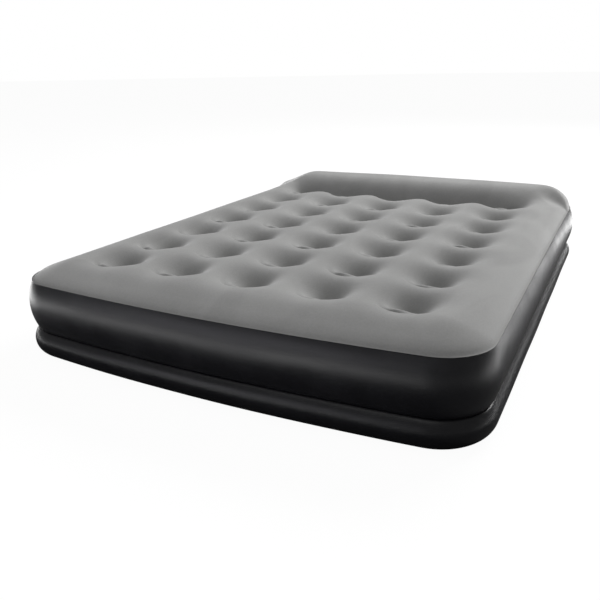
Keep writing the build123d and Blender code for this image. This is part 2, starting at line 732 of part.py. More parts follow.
def rocker_trunnions(radius, extra):
    """Round pivots of the rocker, along z."""
    length = rocker_height + 2 * trunnion_length + extra
    return Pos(motor_x, plate_front - rocker_pivot_depth, switch_z) * Cylinder(radius, length)


def switch_body():
    """Snap-in body of the power switch, with the bearings of the rocker."""
    front = plate_front + switch_rim
    end = plate_back - switch_depth
    body = panel(switch_length, switch_height, 1.5 * switch_rim, plate_front, front, motor_x, switch_z)
    body += panel(switch_inner_length, switch_inner_height, switch_rim, end, plate_front, motor_x, switch_z)
    body -= panel(rocker_length + 2 * rocker_end_gap, rocker_height + 2 * rocker_side_gap, 0.5 * switch_rim,
                  plate_back - switch_well, front, motor_x, switch_z)
    body -= rocker_trunnions(trunnion_radius + running_clearance, 2 * running_clearance)
    for side in (1, -1):
        body += panel(terminal_width, terminal_height, terminal_width / 4, end - terminal_length, end,
                      motor_x + side * terminal_x, switch_z)
    return body


def rocker():
    """Two-way rocker, shown with its left side pressed."""
    half = rocker_length / 2
    tip = rocker_top + half * math.tan(math.radians(rocker_tilt))
    section = filled(
        Line((-half, 0), (-half, tip)),
        Line((-half, tip), (0, rocker_top)),
        Line((0, rocker_top), (half, tip)),
        Line((half, tip), (half, 0)),
        Line((half, 0), (rocker_base_half, -rocker_base)),
        Line((rocker_base_half, -rocker_base), (-rocker_base_half, -rocker_base)),
        Line((-rocker_base_half, -rocker_base), (-half, 0)),
    )
    block = Pos(0, 0, -rocker_height / 2) * extrude(section, amount=rocker_height, dir=(0, 0, 1))
    block = Pos(motor_x, plate_front - rocker_pivot_depth, switch_z) * Rot(0, 0, -rocker_tilt) * block
    return block + rocker_trunnions(trunnion_radius, 0)


def blower_casing():
    """Blower casing: front wall with the eye, round wall, and the outlet duct towards the far side."""
    front = at_depth(volute_depth)
    back = front - volute_thickness
    outer = volute_radius + volute_wall
    x = (duct_right + motor_x) / 2
    z = outer - duct_height / 2
    length = duct_right - motor_x
    casing = rod(outer, back, front, motor_x) + Pos(x, (front + back) / 2, z) * Box(length, front - back, duct_height)
    inner = Box(length, front - back - volute_wall, duct_height - 2 * volute_wall)
    hollow = rod(volute_radius, back, front - volute_wall, motor_x) + Pos(x, (front + back - volute_wall) / 2, z) * inner
    return casing - hollow - rod(eye_radius, back, front, motor_x)


def blower_back_plate():
    """Closes the blower casing and carries the motor."""
    front = motor_front + volute_wall
    plate = rod(volute_radius + volute_wall, motor_front, front) - rod(bush_radius + bush_seat, motor_front, front)
    for side in (1, -1):
        plate -= rod(motor_screw_radius, motor_front, front, side * motor_screw_x)
    return Pos(motor_x, 0, 0) * plate


def impeller():
    """Open centrifugal wheel with curved blades."""
    back = motor_front + volute_wall + impeller_lift
    front = back + impeller_thickness
    wheel = rod(impeller_radius, back, back + disc_thickness) + rod(hub_radius, back, front)
    thin = blade_thickness / 2
    blade_ring = rod(blade_radius + thin, back + disc_thickness, front)
    blade_ring -= rod(blade_radius - thin, back + disc_thickness, front)
    half = impeller_radius / 2
    quarter = Pos(half, (back + front) / 2, half) * Box(impeller_radius, 2 * impeller_thickness, impeller_radius)
    blade = (Pos(blade_shift, 0, 0) * blade_ring) & rod(impeller_radius, back + disc_thickness, front) & quarter
    blade -= rod(root_radius, back + disc_thickness, front)
    for index in range(blade_count):
        wheel += Rot(0, index * 360 / blade_count, 0) * blade
    return Pos(motor_x, 0, 0) * (wheel - rod(motor_shaft_radius, back, front))


def motor_shaft():
    """Steel shaft of the motor, which carries the impeller, armature and commutator."""
    return rod(motor_shaft_radius, motor_back - motor_shaft_tail, at_depth(volute_depth + motor_shaft_front), motor_x)


def motor_can():
    """Steel cup of the motor, closed towards the blower."""
    can = rod(motor_radius, motor_back, motor_front)
    can -= rod(motor_radius - motor_wall, motor_back, motor_front - motor_wall)
    can -= rod(bush_radius, motor_front - motor_wall, motor_front)
    for side in (1, -1):
        can -= rod(motor_screw_radius, motor_front - motor_wall, motor_front, side * motor_screw_x)
    return Pos(motor_x, 0, 0) * can


def motor_end_cap():
    """Moulded cap of the motor with the rear bearing seat."""
    plug = motor_radius - motor_wall
    cap = rod(motor_radius, motor_back - cap_thickness, motor_back) + rod(plug, motor_back, motor_back + cap_plug)
    cap -= rod(plug - cap_plug_wall, motor_back, motor_back + cap_plug)
    return Pos(motor_x, 0, 0) * (cap - rod(bush_radius, motor_back - cap_thickness, motor_back))


def motor_bushes():
    """Two sintered bushes that the shaft runs in."""
    bush = rod(bush_radius, -bush_length / 2, bush_length / 2)
    bush -= rod(motor_shaft_radius + running_clearance, -bush_length / 2, bush_length / 2)
    places = (motor_front - bush_length / 2, motor_back - cap_thickness + bush_length / 2)
    return [Pos(motor_x, y, 0) * bush for y in places]


def motor_magnets():
    """Two curved magnets on the can's inner wall."""
    outer = motor_radius - motor_wall
    back, front = motor_back + magnet_inset, motor_front - magnet_inset
    ring = rod(outer, back, front) - rod(outer - magnet_thickness, back, front)
    gap = Pos(0, (back + front) / 2, 0) * Box(magnet_split, front - back, 2 * motor_radius)
    return [Pos(motor_x, 0, 0) * half for half in (ring - gap).solids()]


def armature():
    """Slotted core on the shaft."""
    back, front = motor_back + core_inset, motor_front - core_inset
    core = rod(core_radius, back, front) - rod(motor_shaft_radius, back, front)
    slot = Pos(0, (back + front) / 2, core_slot_middle) * Box(core_slot_width, front - back, core_slot_depth)
    for index in range(core_slots):
        core -= Rot(0, index * 360 / core_slots, 0) * slot
    return Pos(motor_x, 0, 0) * core


def commutator():
    """Copper drum at the rear of the armature."""
    back = motor_back + drum_inset
    drum = rod(drum_radius, back, back + drum_length) - rod(motor_shaft_radius, back, back + drum_length)
    return Pos(motor_x, 0, 0) * drum


def motor_brushes():
    """Two carbon brushes on the commutator."""
    y = motor_back + drum_inset + brush_inset + brush_side / 2
    x = drum_radius + brush_gap + brush_length / 2
    return [Pos(motor_x + side * x, y, 0) * Box(brush_length, brush_side, brush_side) for side in (1, -1)]


def motor_screws():
    """Two screws that hold the motor to the blower's back plate."""
    front = motor_front + volute_wall
    screw = rod(motor_screw_radius, motor_front - motor_screw_reach, front)
    screw += rod(motor_screw_head_radius, front, front + motor_screw_head_height)
    return [Pos(motor_x + side * motor_screw_x, 0, 0) * screw for side in (1, -1)]


def rectifier_board():
    """Small board on the tub's ribs: bridge rectifier and suppression capacitor."""
    top = board_z + board_thickness
    board = Pos(outlet_x, board_y, board_z + board_thickness / 2) * Box(board_width, board_length, board_thickness)
    for index in range(4):
        x = outlet_x + diode_shift_x + index // 2 * diode_pitch
        y = board_y + diode_shift_y + index % 2 * diode_pitch
        board += cross_rod(diode_radius, diode_length, x, y, top + diode_lift)
    capacitor = Box(capacitor_width, capacitor_length, capacitor_height)
    return board + Pos(outlet_x + capacitor_x, board_y, top + capacitor_height / 2) * capacitor


def outlet_seal():
    """Rubber ring round the outlet that the flap closes on."""
    ring = rod(flap_radius, housing_end - seat_ring, housing_end) - rod(outlet_radius, housing_end - seat_ring, housing_end)
    return Pos(outlet_x, 0, outlet_z) * ring


def check_flap():
    """Non-return flap that hangs from its pin against the outlet."""
    front = housing_end - seat_ring - flap_gap
    arm_width = 2 * (flap_ear_gap - knuckle_gap)
    arm_height = flap_arm - flap_arm_root
    flap = rod(flap_radius, front - flap_thickness, front, outlet_x, outlet_z)
    flap += Pos(outlet_x, front - flap_thickness / 2, flap_hinge_z - arm_height / 2) * Box(
        arm_width, flap_thickness, arm_height
    )
    flap += cross_rod(flap_knuckle_radius, arm_width, outlet_x, flap_hinge_y, flap_hinge_z)
    return flap - cross_rod(hinge_pin_radius + running_clearance, arm_width, outlet_x, flap_hinge_y, flap_hinge_z)


def flap_hinge_pin():
    """Pin of the non-return flap, held in the tub's ears."""
    return cross_rod(hinge_pin_radius, 2 * (flap_ear_gap + flap_ear_width), outlet_x, flap_hinge_y, flap_hinge_z)


def outlet_cage():
    """Slotted guard that keeps the bed's sheets off the flap."""
    z = outlet_z + cage_shift
    back = housing_end - cage_depth
    cage = panel(cage_width, cage_height, cage_corner, back, housing_end, outlet_x, z)
    cage -= panel(cage_width - 2 * cage_wall, cage_height - 2 * cage_wall, cage_corner - cage_wall / 2,
                  back + cage_wall, housing_end, outlet_x, z)
    end_slot = Box(cage_slot_width, 4 * cage_wall, cage_height - 2 * cage_slot_end)
    side_slot = Box(cage_slot_width, cage_depth - 2 * cage_slot_margin, 2 * cage_height)
    for index in range(cage_slots):
        x = outlet_x + (index - (cage_slots - 1) / 2) * cage_slot_pitch
        cage -= Pos(x, back, z) * end_slot
        cage -= Pos(x, (back + housing_end) / 2, z) * side_slot
    return cage


# ---------------------------------------------------------------------------- build and write
def write(name, shape, pump=False):
    """Writes one node: a solid, or a group of separate like solids."""
    group = shape if isinstance(shape, list) else [shape]
    if pump:
        group = [place(item) for item in group]
    solids = [solid for item in group for solid in item.solids()]
    export_step(Compound(children=solids) if len(solids) > 1 else solids[0], f"parts/{name}.step")


opening_through_wall = place(panel(collar_width, collar_height, collar_corner, -3 * collar_depth, crease_inset))
bed_parts = {
    "top_sheet": top_sheet(),
    "upper_side_band": upper_band() - opening_through_wall,
    "lower_side_band": lower_band(),
    "middle_sheet": middle_sheet(),
    "bottom_sheet": bottom_sheet(),
    "coil_beams": coil_beams(),
    "lower_beams": lower_beams(),
}
for node, shape in bed_parts.items():
    write(node, shape)

pump_parts = {
    "pump_collar": collar,
    "pump_gasket": gasket,
    "pump_housing": housing,
    "pump_faceplate": faceplate,
    "faceplate_screws": faceplate_screws,
    "cord_bay": cord_bay,
    "cord_gland": cord_gland,
    "cord_lid": cord_lid,
    "lid_hinge_pin": lid_hinge_pin,
    "selector_knob": selector_knob,
    "selector_shaft": selector_shaft,
    "valve_disc": valve_disc,
    "valve_seat_plate": seat_plate,
    "shaft_seal": shaft_seal,
    "switch_body": switch_body,
    "switch_rocker": rocker,
    "blower_casing": blower_casing,
    "blower_back_plate": blower_back_plate,
    "impeller": impeller,
    "motor_shaft": motor_shaft,
    "motor_can": motor_can,
    "motor_end_cap": motor_end_cap,
    "motor_bushes": motor_bushes,
    "motor_magnets": motor_magnets,
    "armature": armature,
    "commutator": commutator,
    "motor_brushes": motor_brushes,
    "motor_screws": motor_screws,
    "rectifier_board": rectifier_board,
    "outlet_seal": outlet_seal,
    "check_flap": check_flap,
    "flap_hinge_pin": flap_hinge_pin,
    "outlet_cage": outlet_cage,
}
for node, make in pump_parts.items():
    write(node, make(), pump=True)
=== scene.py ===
import json
import logging
import math
from dataclasses import dataclass, field
from enum import Enum
from typing import Callable, Iterable, Sequence

import bmesh
import bpy
import numpy as np
from mathutils import Matrix, Vector


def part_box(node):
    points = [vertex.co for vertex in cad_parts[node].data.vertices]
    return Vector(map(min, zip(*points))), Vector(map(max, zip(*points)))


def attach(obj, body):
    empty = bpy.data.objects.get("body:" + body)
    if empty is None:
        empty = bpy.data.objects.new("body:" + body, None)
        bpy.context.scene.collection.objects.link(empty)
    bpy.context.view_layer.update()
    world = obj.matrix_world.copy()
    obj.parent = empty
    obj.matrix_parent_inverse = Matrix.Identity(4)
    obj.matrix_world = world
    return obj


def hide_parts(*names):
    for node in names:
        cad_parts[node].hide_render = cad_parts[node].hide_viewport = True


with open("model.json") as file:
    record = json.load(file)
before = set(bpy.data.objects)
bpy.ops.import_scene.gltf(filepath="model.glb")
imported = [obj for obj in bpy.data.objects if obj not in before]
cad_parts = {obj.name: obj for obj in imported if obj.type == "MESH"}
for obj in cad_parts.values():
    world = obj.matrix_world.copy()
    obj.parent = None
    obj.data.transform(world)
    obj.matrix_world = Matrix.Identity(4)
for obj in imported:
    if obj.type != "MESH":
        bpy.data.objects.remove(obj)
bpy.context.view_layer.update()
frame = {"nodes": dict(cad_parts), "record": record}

LOG = logging.getLogger("air_mattress")
UPPER_ARCH_RADIUS = 0.170
UPPER_ARCH_MIDDLE = 0.170
UPPER_ARCH_HALF_HEIGHT = 0.080
LOWER_ARCH_RADIUS = 0.050
LOWER_ARCH_TOP = 0.0893
ARCH_POINTS = 60

Colour = tuple[float, float, float, float]
Array = np.ndarray


class Tier(Enum):
    """The two air chambers, one on the other."""

    LOWER = "lower"
    UPPER = "upper"


class Grain(Enum):
    """Surface textures that a moulding tool or a rolled film leaves."""

    SPARK = "spark"
    PEBBLE = "pebble"
    BRUSHED = "brushed"
    SMOOTH = "smooth"


# ------------------------------------------------------------------ shader graphs
class Graph:
    """Adds nodes to one tree and joins them."""

    def __init__(self, tree: bpy.types.NodeTree) -> None:
        """Takes the tree that gets the nodes."""
        self.tree = tree

    def fill(self, node: bpy.types.Node, inputs: dict) -> bpy.types.Node:
        """Sets or links a node's inputs.

        Args:
            node: the node.
            inputs: values or output sockets, by input name or index.

        Returns:
            The node.
        """
        for key, value in inputs.items():
            if isinstance(value, bpy.types.NodeSocket):
                self.tree.links.new(value, node.inputs[key])
            else:
                node.inputs[key].default_value = value
        return node

    def add(self, kind: str, inputs: dict | None = None, **settings: object) -> bpy.types.Node:
        """Adds one node.

        Args:
            kind: the node's type without its ShaderNode prefix.
            inputs: values or output sockets, by input name or index.
            settings: properties of the node itself.

        Returns:
            The new node.
        """
        node = self.tree.nodes.new("ShaderNode" + kind)
        for key, value in settings.items():
            setattr(node, key, value)
        return self.fill(node, inputs or {})

    def maths(self, operation: str, a: object, b: object = 0.0) -> bpy.types.NodeSocket:
        """Returns the result of one Math node."""
        return self.add("Math", {0: a, 1: b}, operation=operation).outputs[0]

    def blend(self, factor: object, a: object, b: object) -> bpy.types.NodeSocket:
        """Returns a colour between a and b."""
        node = self.add("Mix", {0: factor, 6: a, 7: b}, data_type="RGBA")
        return node.outputs[2]

    def ramp(self, value: object, low: float, high: float, out_low: float = 0.0,
             out_high: float = 1.0) -> bpy.types.NodeSocket:
        """Returns value carried smoothly from one range to another."""
        inputs = {"Value": value, "From Min": low, "From Max": high, "To Min": out_low, "To Max": out_high}
        return self.add("MapRange", inputs, interpolation_type="SMOOTHSTEP").outputs[0]

    def shared(self, group: bpy.types.NodeTree, inputs: dict) -> bpy.types.Node:
        """Places a shared group.

        Args:
            group: the group's tree.
            inputs: its input values or sockets by name.

        Returns:
            The group node.
        """
        node = self.tree.nodes.new("ShaderNodeGroup")
        node.node_tree = group
        return self.fill(node, inputs)


def new_group(name: str, inputs: Sequence[tuple], outputs: Sequence[tuple]) -> tuple:
    """Starts a shared node group.

    Args:
        name: the group's name.
        inputs: (name, socket type, default) of each input.
        outputs: (name, socket type) of each output.

    Returns:
        The tree, its graph, its input node and its output node.
    """
    tree = bpy.data.node_groups.new(name, "ShaderNodeTree")
    for label, kind, default in inputs:
        socket = tree.interface.new_socket(name=label, in_out="INPUT", socket_type=kind)
        if default is not None:
            socket.default_value = default
    for label, kind in outputs:
        tree.interface.new_socket(name=label, in_out="OUTPUT", socket_type=kind)
    return tree, Graph(tree), tree.nodes.new("NodeGroupInput"), tree.nodes.new("NodeGroupOutput")


class SharedEffects:
    """Node groups that several finishes use: film grain, rubbed patches, dust and flock."""

    def __init__(self) -> None:
        """Builds each group once."""
        self.grain = self._grain()
        self.rubbed = self._rubbed()
        self.dust = self._dust()
        self.flock = self._flock()

    @staticmethod
    def _grain() -> bpy.types.NodeTree:
        """Returns the group for spark-eroded or pebbled grain, with its height and its pits' mask."""
        tree, g, start, end = new_group(
            "surface_grain",
            [("Vector", "NodeSocketVector", None), ("Scale", "NodeSocketFloat", 900.0),
             ("Pebble", "NodeSocketFloat", 0.0)],
            [("Height", "NodeSocketFloat"), ("Mask", "NodeSocketFloat")],
        )
        fine = g.add("TexNoise", {"Vector": start.outputs["Vector"], "Scale": start.outputs["Scale"],
                                  "Detail": 3.0, "Roughness": 0.6})
        cells = g.add("TexVoronoi", {"Vector": start.outputs["Vector"], "Scale": start.outputs["Scale"]},
                      feature="SMOOTH_F1")
        pebble = g.ramp(cells.outputs["Distance"], 0.1, 0.7, 1.0, 0.0)
        height = g.add("Mix", {0: start.outputs["Pebble"], 2: fine.outputs["Fac"], 3: pebble}).outputs[0]
        mask = g.ramp(height, 0.35, 0.65)
        tree.links.new(height, end.inputs["Height"])
        tree.links.new(mask, end.inputs["Mask"])
        return tree

    @staticmethod
    def _rubbed() -> bpy.types.NodeTree:
        """Returns the group for broad patches that handling has rubbed smoother or duller."""
        tree, g, start, end = new_group(
            "rubbed_patches",
            [("Vector", "NodeSocketVector", None), ("Scale", "NodeSocketFloat", 6.0),
             ("Amount", "NodeSocketFloat", 0.1), ("Roughness", "NodeSocketFloat", 0.5)],
            [("Roughness", "NodeSocketFloat"), ("Mask", "NodeSocketFloat")],
        )
        cloud = g.add("TexNoise", {"Vector": start.outputs["Vector"], "Scale": start.outputs["Scale"],
                                   "Detail": 4.0, "Roughness": 0.55, "Distortion": 0.4})
        mask = g.ramp(cloud.outputs["Fac"], 0.38, 0.66)
        shift = g.maths("MULTIPLY", g.maths("SUBTRACT", mask, 0.5), start.outputs["Amount"])
        tree.links.new(g.maths("ADD", start.outputs["Roughness"], shift), end.inputs["Roughness"])
        tree.links.new(mask, end.inputs["Mask"])
        return tree

    @staticmethod
    def _dust() -> bpy.types.NodeTree:
        """Returns the group that pales the faces that look up, where dust and lint settle."""
        tree, g, start, end = new_group(
            "settled_dust",
            [("Vector", "NodeSocketVector", None), ("Colour", "NodeSocketColor", (0.1, 0.1, 0.1, 1.0)),
             ("Dust", "NodeSocketColor", (0.3, 0.29, 0.27, 1.0)), ("Amount", "NodeSocketFloat", 0.1),
             ("Scale", "NodeSocketFloat", 40.0)],
            [("Colour", "NodeSocketColor"), ("Mask", "NodeSocketFloat")],
        )
        normal = g.add("NewGeometry").outputs["Normal"]
        up = g.add("SeparateXYZ", {0: normal}).outputs["Z"]
        facing = g.ramp(up, 0.2, 0.95)
        speck = g.add("TexNoise", {"Vector": start.outputs["Vector"], "Scale": start.outputs["Scale"],
                                   "Detail": 6.0, "Roughness": 0.7})
        patch = g.ramp(speck.outputs["Fac"], 0.45, 0.75)
        mask = g.maths("MULTIPLY", g.maths("MULTIPLY", facing, patch), start.outputs["Amount"])
        tree.links.new(g.blend(mask, start.outputs["Colour"], start.outputs["Dust"]), end.inputs["Colour"])
        tree.links.new(mask, end.inputs["Mask"])
        return tree

    @staticmethod
    def _flock() -> bpy.types.NodeTree:
        """Returns the group for flocked pile: clumped fibres, brushed patches and their height."""
        tree, g, start, end = new_group(
            "flocked_pile",
            [("Vector", "NodeSocketVector", None), ("Deep", "NodeSocketColor", (0.2, 0.2, 0.2, 1.0)),
             ("Tip", "NodeSocketColor", (0.3, 0.3, 0.3, 1.0)), ("Fibre", "NodeSocketFloat", 900.0),
             ("Brushing", "NodeSocketFloat", 7.0)],
            [("Colour", "NodeSocketColor"), ("Height", "NodeSocketFloat"), ("Mask", "NodeSocketFloat")],
        )
        fibre = g.add("TexNoise", {"Vector": start.outputs["Vector"], "Scale": start.outputs["Fibre"],
                                   "Detail": 4.0, "Roughness": 0.75})
        clump = g.add("TexNoise", {"Vector": start.outputs["Vector"],
                                   "Scale": g.maths("MULTIPLY", start.outputs["Fibre"], 0.16),
                                   "Detail": 3.0, "Roughness": 0.6, "Distortion": 0.8})
        stretched = g.add("Mapping", {"Vector": start.outputs["Vector"], "Scale": (1.0, 0.45, 1.0),
                                      "Rotation": (0.0, 0.0, 0.35)})
        brushed = g.add("TexNoise", {"Vector": stretched.outputs[0], "Scale": start.outputs["Brushing"],
                                     "Detail": 2.5, "Distortion": 1.2})
        nap = g.ramp(brushed.outputs["Fac"], 0.36, 0.66)
        tips = g.maths("ADD", g.maths("MULTIPLY", fibre.outputs["Fac"], 0.6),
                       g.maths("MULTIPLY", clump.outputs["Fac"], 0.4))
        shade = g.maths("ADD", g.ramp(tips, 0.34, 0.66, 0.0, 0.62), g.maths("MULTIPLY", nap, 0.38))
        tree.links.new(g.blend(shade, start.outputs["Deep"], start.outputs["Tip"]), end.inputs["Colour"])
        tree.links.new(tips, end.inputs["Height"])
        tree.links.new(nap, end.inputs["Mask"])
        return tree


def start_material(name: str) -> tuple[bpy.types.Material, Graph, bpy.types.Node, bpy.types.NodeSocket]:
    """Starts a material with its Principled shader.

    Args:
        name: the material's name.

    Returns:
        The material, its graph, its Principled node and the Object coordinates.
    """
    material = bpy.data.materials.new(name)
    material.use_nodes = True
    graph = Graph(material.node_tree)
    shader = next(n for n in material.node_tree.nodes if n.type == "BSDF_PRINCIPLED")
    place = graph.add("TexCoord").outputs["Object"]
    return material, graph, shader, place


# ------------------------------------------------------------------ finishes
@dataclass(frozen=True)
class FlockFinish:
    """Short grey pile glued on the sleeping surface."""

    deep: Colour = (0.215, 0.215, 0.212, 1.0)
    tip: Colour = (0.272, 0.272, 0.268, 1.0)
    fibre_scale: float = 1100.0
    brushing_scale: float = 5.0
    pile_height: float = 0.0005
    sheen: float = 0.35

    def make(self, name: str, effects: SharedEffects) -> bpy.types.Material:
        """Returns the flock material.

        Args:
            name: the material's name.
            effects: the shared node groups.
        """
        material, g, shader, place = start_material(name)
        pile = g.shared(effects.flock, {"Vector": place, "Deep": self.deep, "Tip": self.tip,
                                        "Fibre": self.fibre_scale, "Brushing": self.brushing_scale})
        dust = g.shared(effects.dust, {"Vector": place, "Colour": pile.outputs["Colour"], "Amount": 0.12,
                                       "Dust": (0.36, 0.355, 0.34, 1.0), "Scale": 260.0})
        bump = g.add("Bump", {"Height": pile.outputs["Height"], "Distance": self.pile_height,
                              "Strength": 0.8})
        g.fill(shader, {"Base Color": dust.outputs["Colour"],
                        "Roughness": g.ramp(pile.outputs["Mask"], 0.0, 1.0, 0.97, 0.88),
                        "Normal": bump.outputs["Normal"], "Sheen Weight": self.sheen,
                        "Sheen Roughness": 0.45, "Specular IOR Level": 0.15})
        return material


@dataclass(frozen=True)
class VinylFinish:
    """Calendered vinyl film of the walls, with a satin face and a very fine pebble."""

    colour: Colour = (0.006, 0.006, 0.008, 1.0)
    worn: Colour = (0.010, 0.010, 0.0125, 1.0)
    roughness: float = 0.36
    specular: float = 0.42
    pebble_scale: float = 620.0
    pebble_height: float = 0.00012

    def make(self, name: str, effects: SharedEffects) -> bpy.types.Material:
        """Returns the vinyl material.

        Args:
            name: the material's name.
            effects: the shared node groups.
        """
        material, g, shader, place = start_material(name)
        grain = g.shared(effects.grain, {"Vector": place, "Scale": self.pebble_scale, "Pebble": 1.0})
        rubbed = g.shared(effects.rubbed, {"Vector": place, "Scale": 5.0, "Amount": 0.07,
                                           "Roughness": self.roughness})
        base = g.blend(rubbed.outputs["Mask"], self.colour, self.worn)
        dust = g.shared(effects.dust, {"Vector": place, "Colour": base, "Amount": 0.05, "Scale": 90.0})
        slack = g.add("TexNoise", {"Vector": place, "Scale": 9.0, "Detail": 2.0, "Distortion": 0.6})
        wave = g.add("Bump", {"Height": slack.outputs["Fac"], "Distance": 0.0022, "Strength": 0.35})
        bump = g.add("Bump", {"Height": grain.outputs["Height"], "Distance": self.pebble_height,
                              "Strength": 0.6, "Normal": wave.outputs["Normal"]})
        g.fill(shader, {"Base Color": dust.outputs["Colour"], "Roughness": rubbed.outputs["Roughness"],
                        "Normal": bump.outputs["Normal"], "Specular IOR Level": self.specular})
        return material


@dataclass(frozen=True)
class MouldedFinish:
    """Moulded plastic or rubber, with the tool's grain and a little dust."""

    colour: Colour
    roughness: float = 0.5
    grain: Grain = Grain.SPARK
    grain_scale: float = 1500.0
    grain_height: float = 0.00006
    specular: float = 0.5
    dust: float = 0.1
    variation: float = 0.12

    def make(self, name: str, effects: SharedEffects) -> bpy.types.Material:
        """Returns the moulded material.

        Args:
            name: the material's name.
            effects: the shared node groups.
        """
        material, g, shader, place = start_material(name)
        pebble = 1.0 if self.grain is Grain.PEBBLE else 0.0
        grain = g.shared(effects.grain, {"Vector": place, "Scale": self.grain_scale, "Pebble": pebble})
        rubbed = g.shared(effects.rubbed, {"Vector": place, "Scale": 34.0, "Amount": self.variation,
                                           "Roughness": self.roughness})
        lighter = tuple(min(1.0, c * 1.22 + 0.004) for c in self.colour[:3]) + (1.0,)
        base = g.blend(rubbed.outputs["Mask"], self.colour, lighter)
        dust = g.shared(effects.dust, {"Vector": place, "Colour": base, "Amount": self.dust, "Scale": 180.0})
        height = 0.0 if self.grain is Grain.SMOOTH else self.grain_height
        bump = g.add("Bump", {"Height": grain.outputs["Height"], "Distance": height, "Strength": 0.7})
        g.fill(shader, {"Base Color": dust.outputs["Colour"], "Roughness": rubbed.outputs["Roughness"],
                        "Normal": bump.outputs["Normal"], "Specular IOR Level": self.specular})
        return material


@dataclass(frozen=True)
class MetalFinish:
    """Turned, rolled, cast or sintered metal."""

    colour: Colour
    roughness: float = 0.3
    grain: Grain = Grain.BRUSHED
    tarnish: Colour = (0.2, 0.19, 0.18, 1.0)
    tarnish_amount: float = 0.25
    metallic: float = 1.0

    def make(self, name: str, effects: SharedEffects) -> bpy.types.Material:
        """Returns the metal material.

        Args:
            name: the material's name.
            effects: the shared node groups.
        """
        material, g, shader, place = start_material(name)
        along = (1.0, 0.06, 1.0) if self.grain is Grain.BRUSHED else (1.0, 1.0, 1.0)
        drawn = g.add("Mapping", {"Vector": place, "Scale": along})
        grain = g.shared(effects.grain, {"Vector": drawn.outputs[0], "Scale": 2200.0, "Pebble": 0.0})
        rubbed = g.shared(effects.rubbed, {"Vector": place, "Scale": 60.0, "Amount": 0.2,
                                           "Roughness": self.roughness})
        spots = g.maths("MULTIPLY", rubbed.outputs["Mask"], self.tarnish_amount)
        bump = g.add("Bump", {"Height": grain.outputs["Height"], "Distance": 0.00004, "Strength": 0.6})
        g.fill(shader, {"Base Color": g.blend(spots, self.colour, self.tarnish),
                        "Roughness": rubbed.outputs["Roughness"], "Normal": bump.outputs["Normal"],
                        "Metallic": self.metallic})
        return material


@dataclass(frozen=True)
class BoardFinish:
    """Green circuit board whose parts above the laminate are dark epoxy."""

    laminate: Colour = (0.02, 0.12, 0.05, 1.0)
    weave: Colour = (0.08, 0.22, 0.1, 1.0)
    epoxy: Colour = (0.03, 0.03, 0.035, 1.0)
    top: float = 0.13

    def make(self, name: str, effects: SharedEffects) -> bpy.types.Material:
        """Returns the board material.

        Args:
            name: the material's name.
            effects: the shared node groups.
        """
        material, g, shader, place = start_material(name)
        level = g.add("SeparateXYZ", {0: place}).outputs["Z"]
        above = g.maths("GREATER_THAN", level, self.top)
        grain = g.shared(effects.grain, {"Vector": place, "Scale": 1800.0, "Pebble": 0.4})
        rubbed = g.shared(effects.rubbed, {"Vector": place, "Scale": 90.0, "Amount": 0.2, "Roughness": 0.4})
        threads = g.maths("MULTIPLY", grain.outputs["Mask"], 0.25)
        weave = g.blend(threads, self.laminate, self.weave)
        bump = g.add("Bump", {"Height": grain.outputs["Height"], "Distance": 0.00004})
        g.fill(shader, {"Base Color": g.blend(above, weave, self.epoxy),
                        "Roughness": rubbed.outputs["Roughness"], "Normal": bump.outputs["Normal"]})
        return material


def grey(value: float, warmth: float = 0.0) -> Colour:
    """Returns a near-neutral colour."""
    return (value * (1 + warmth), value, value * (1 - warmth), 1.0)


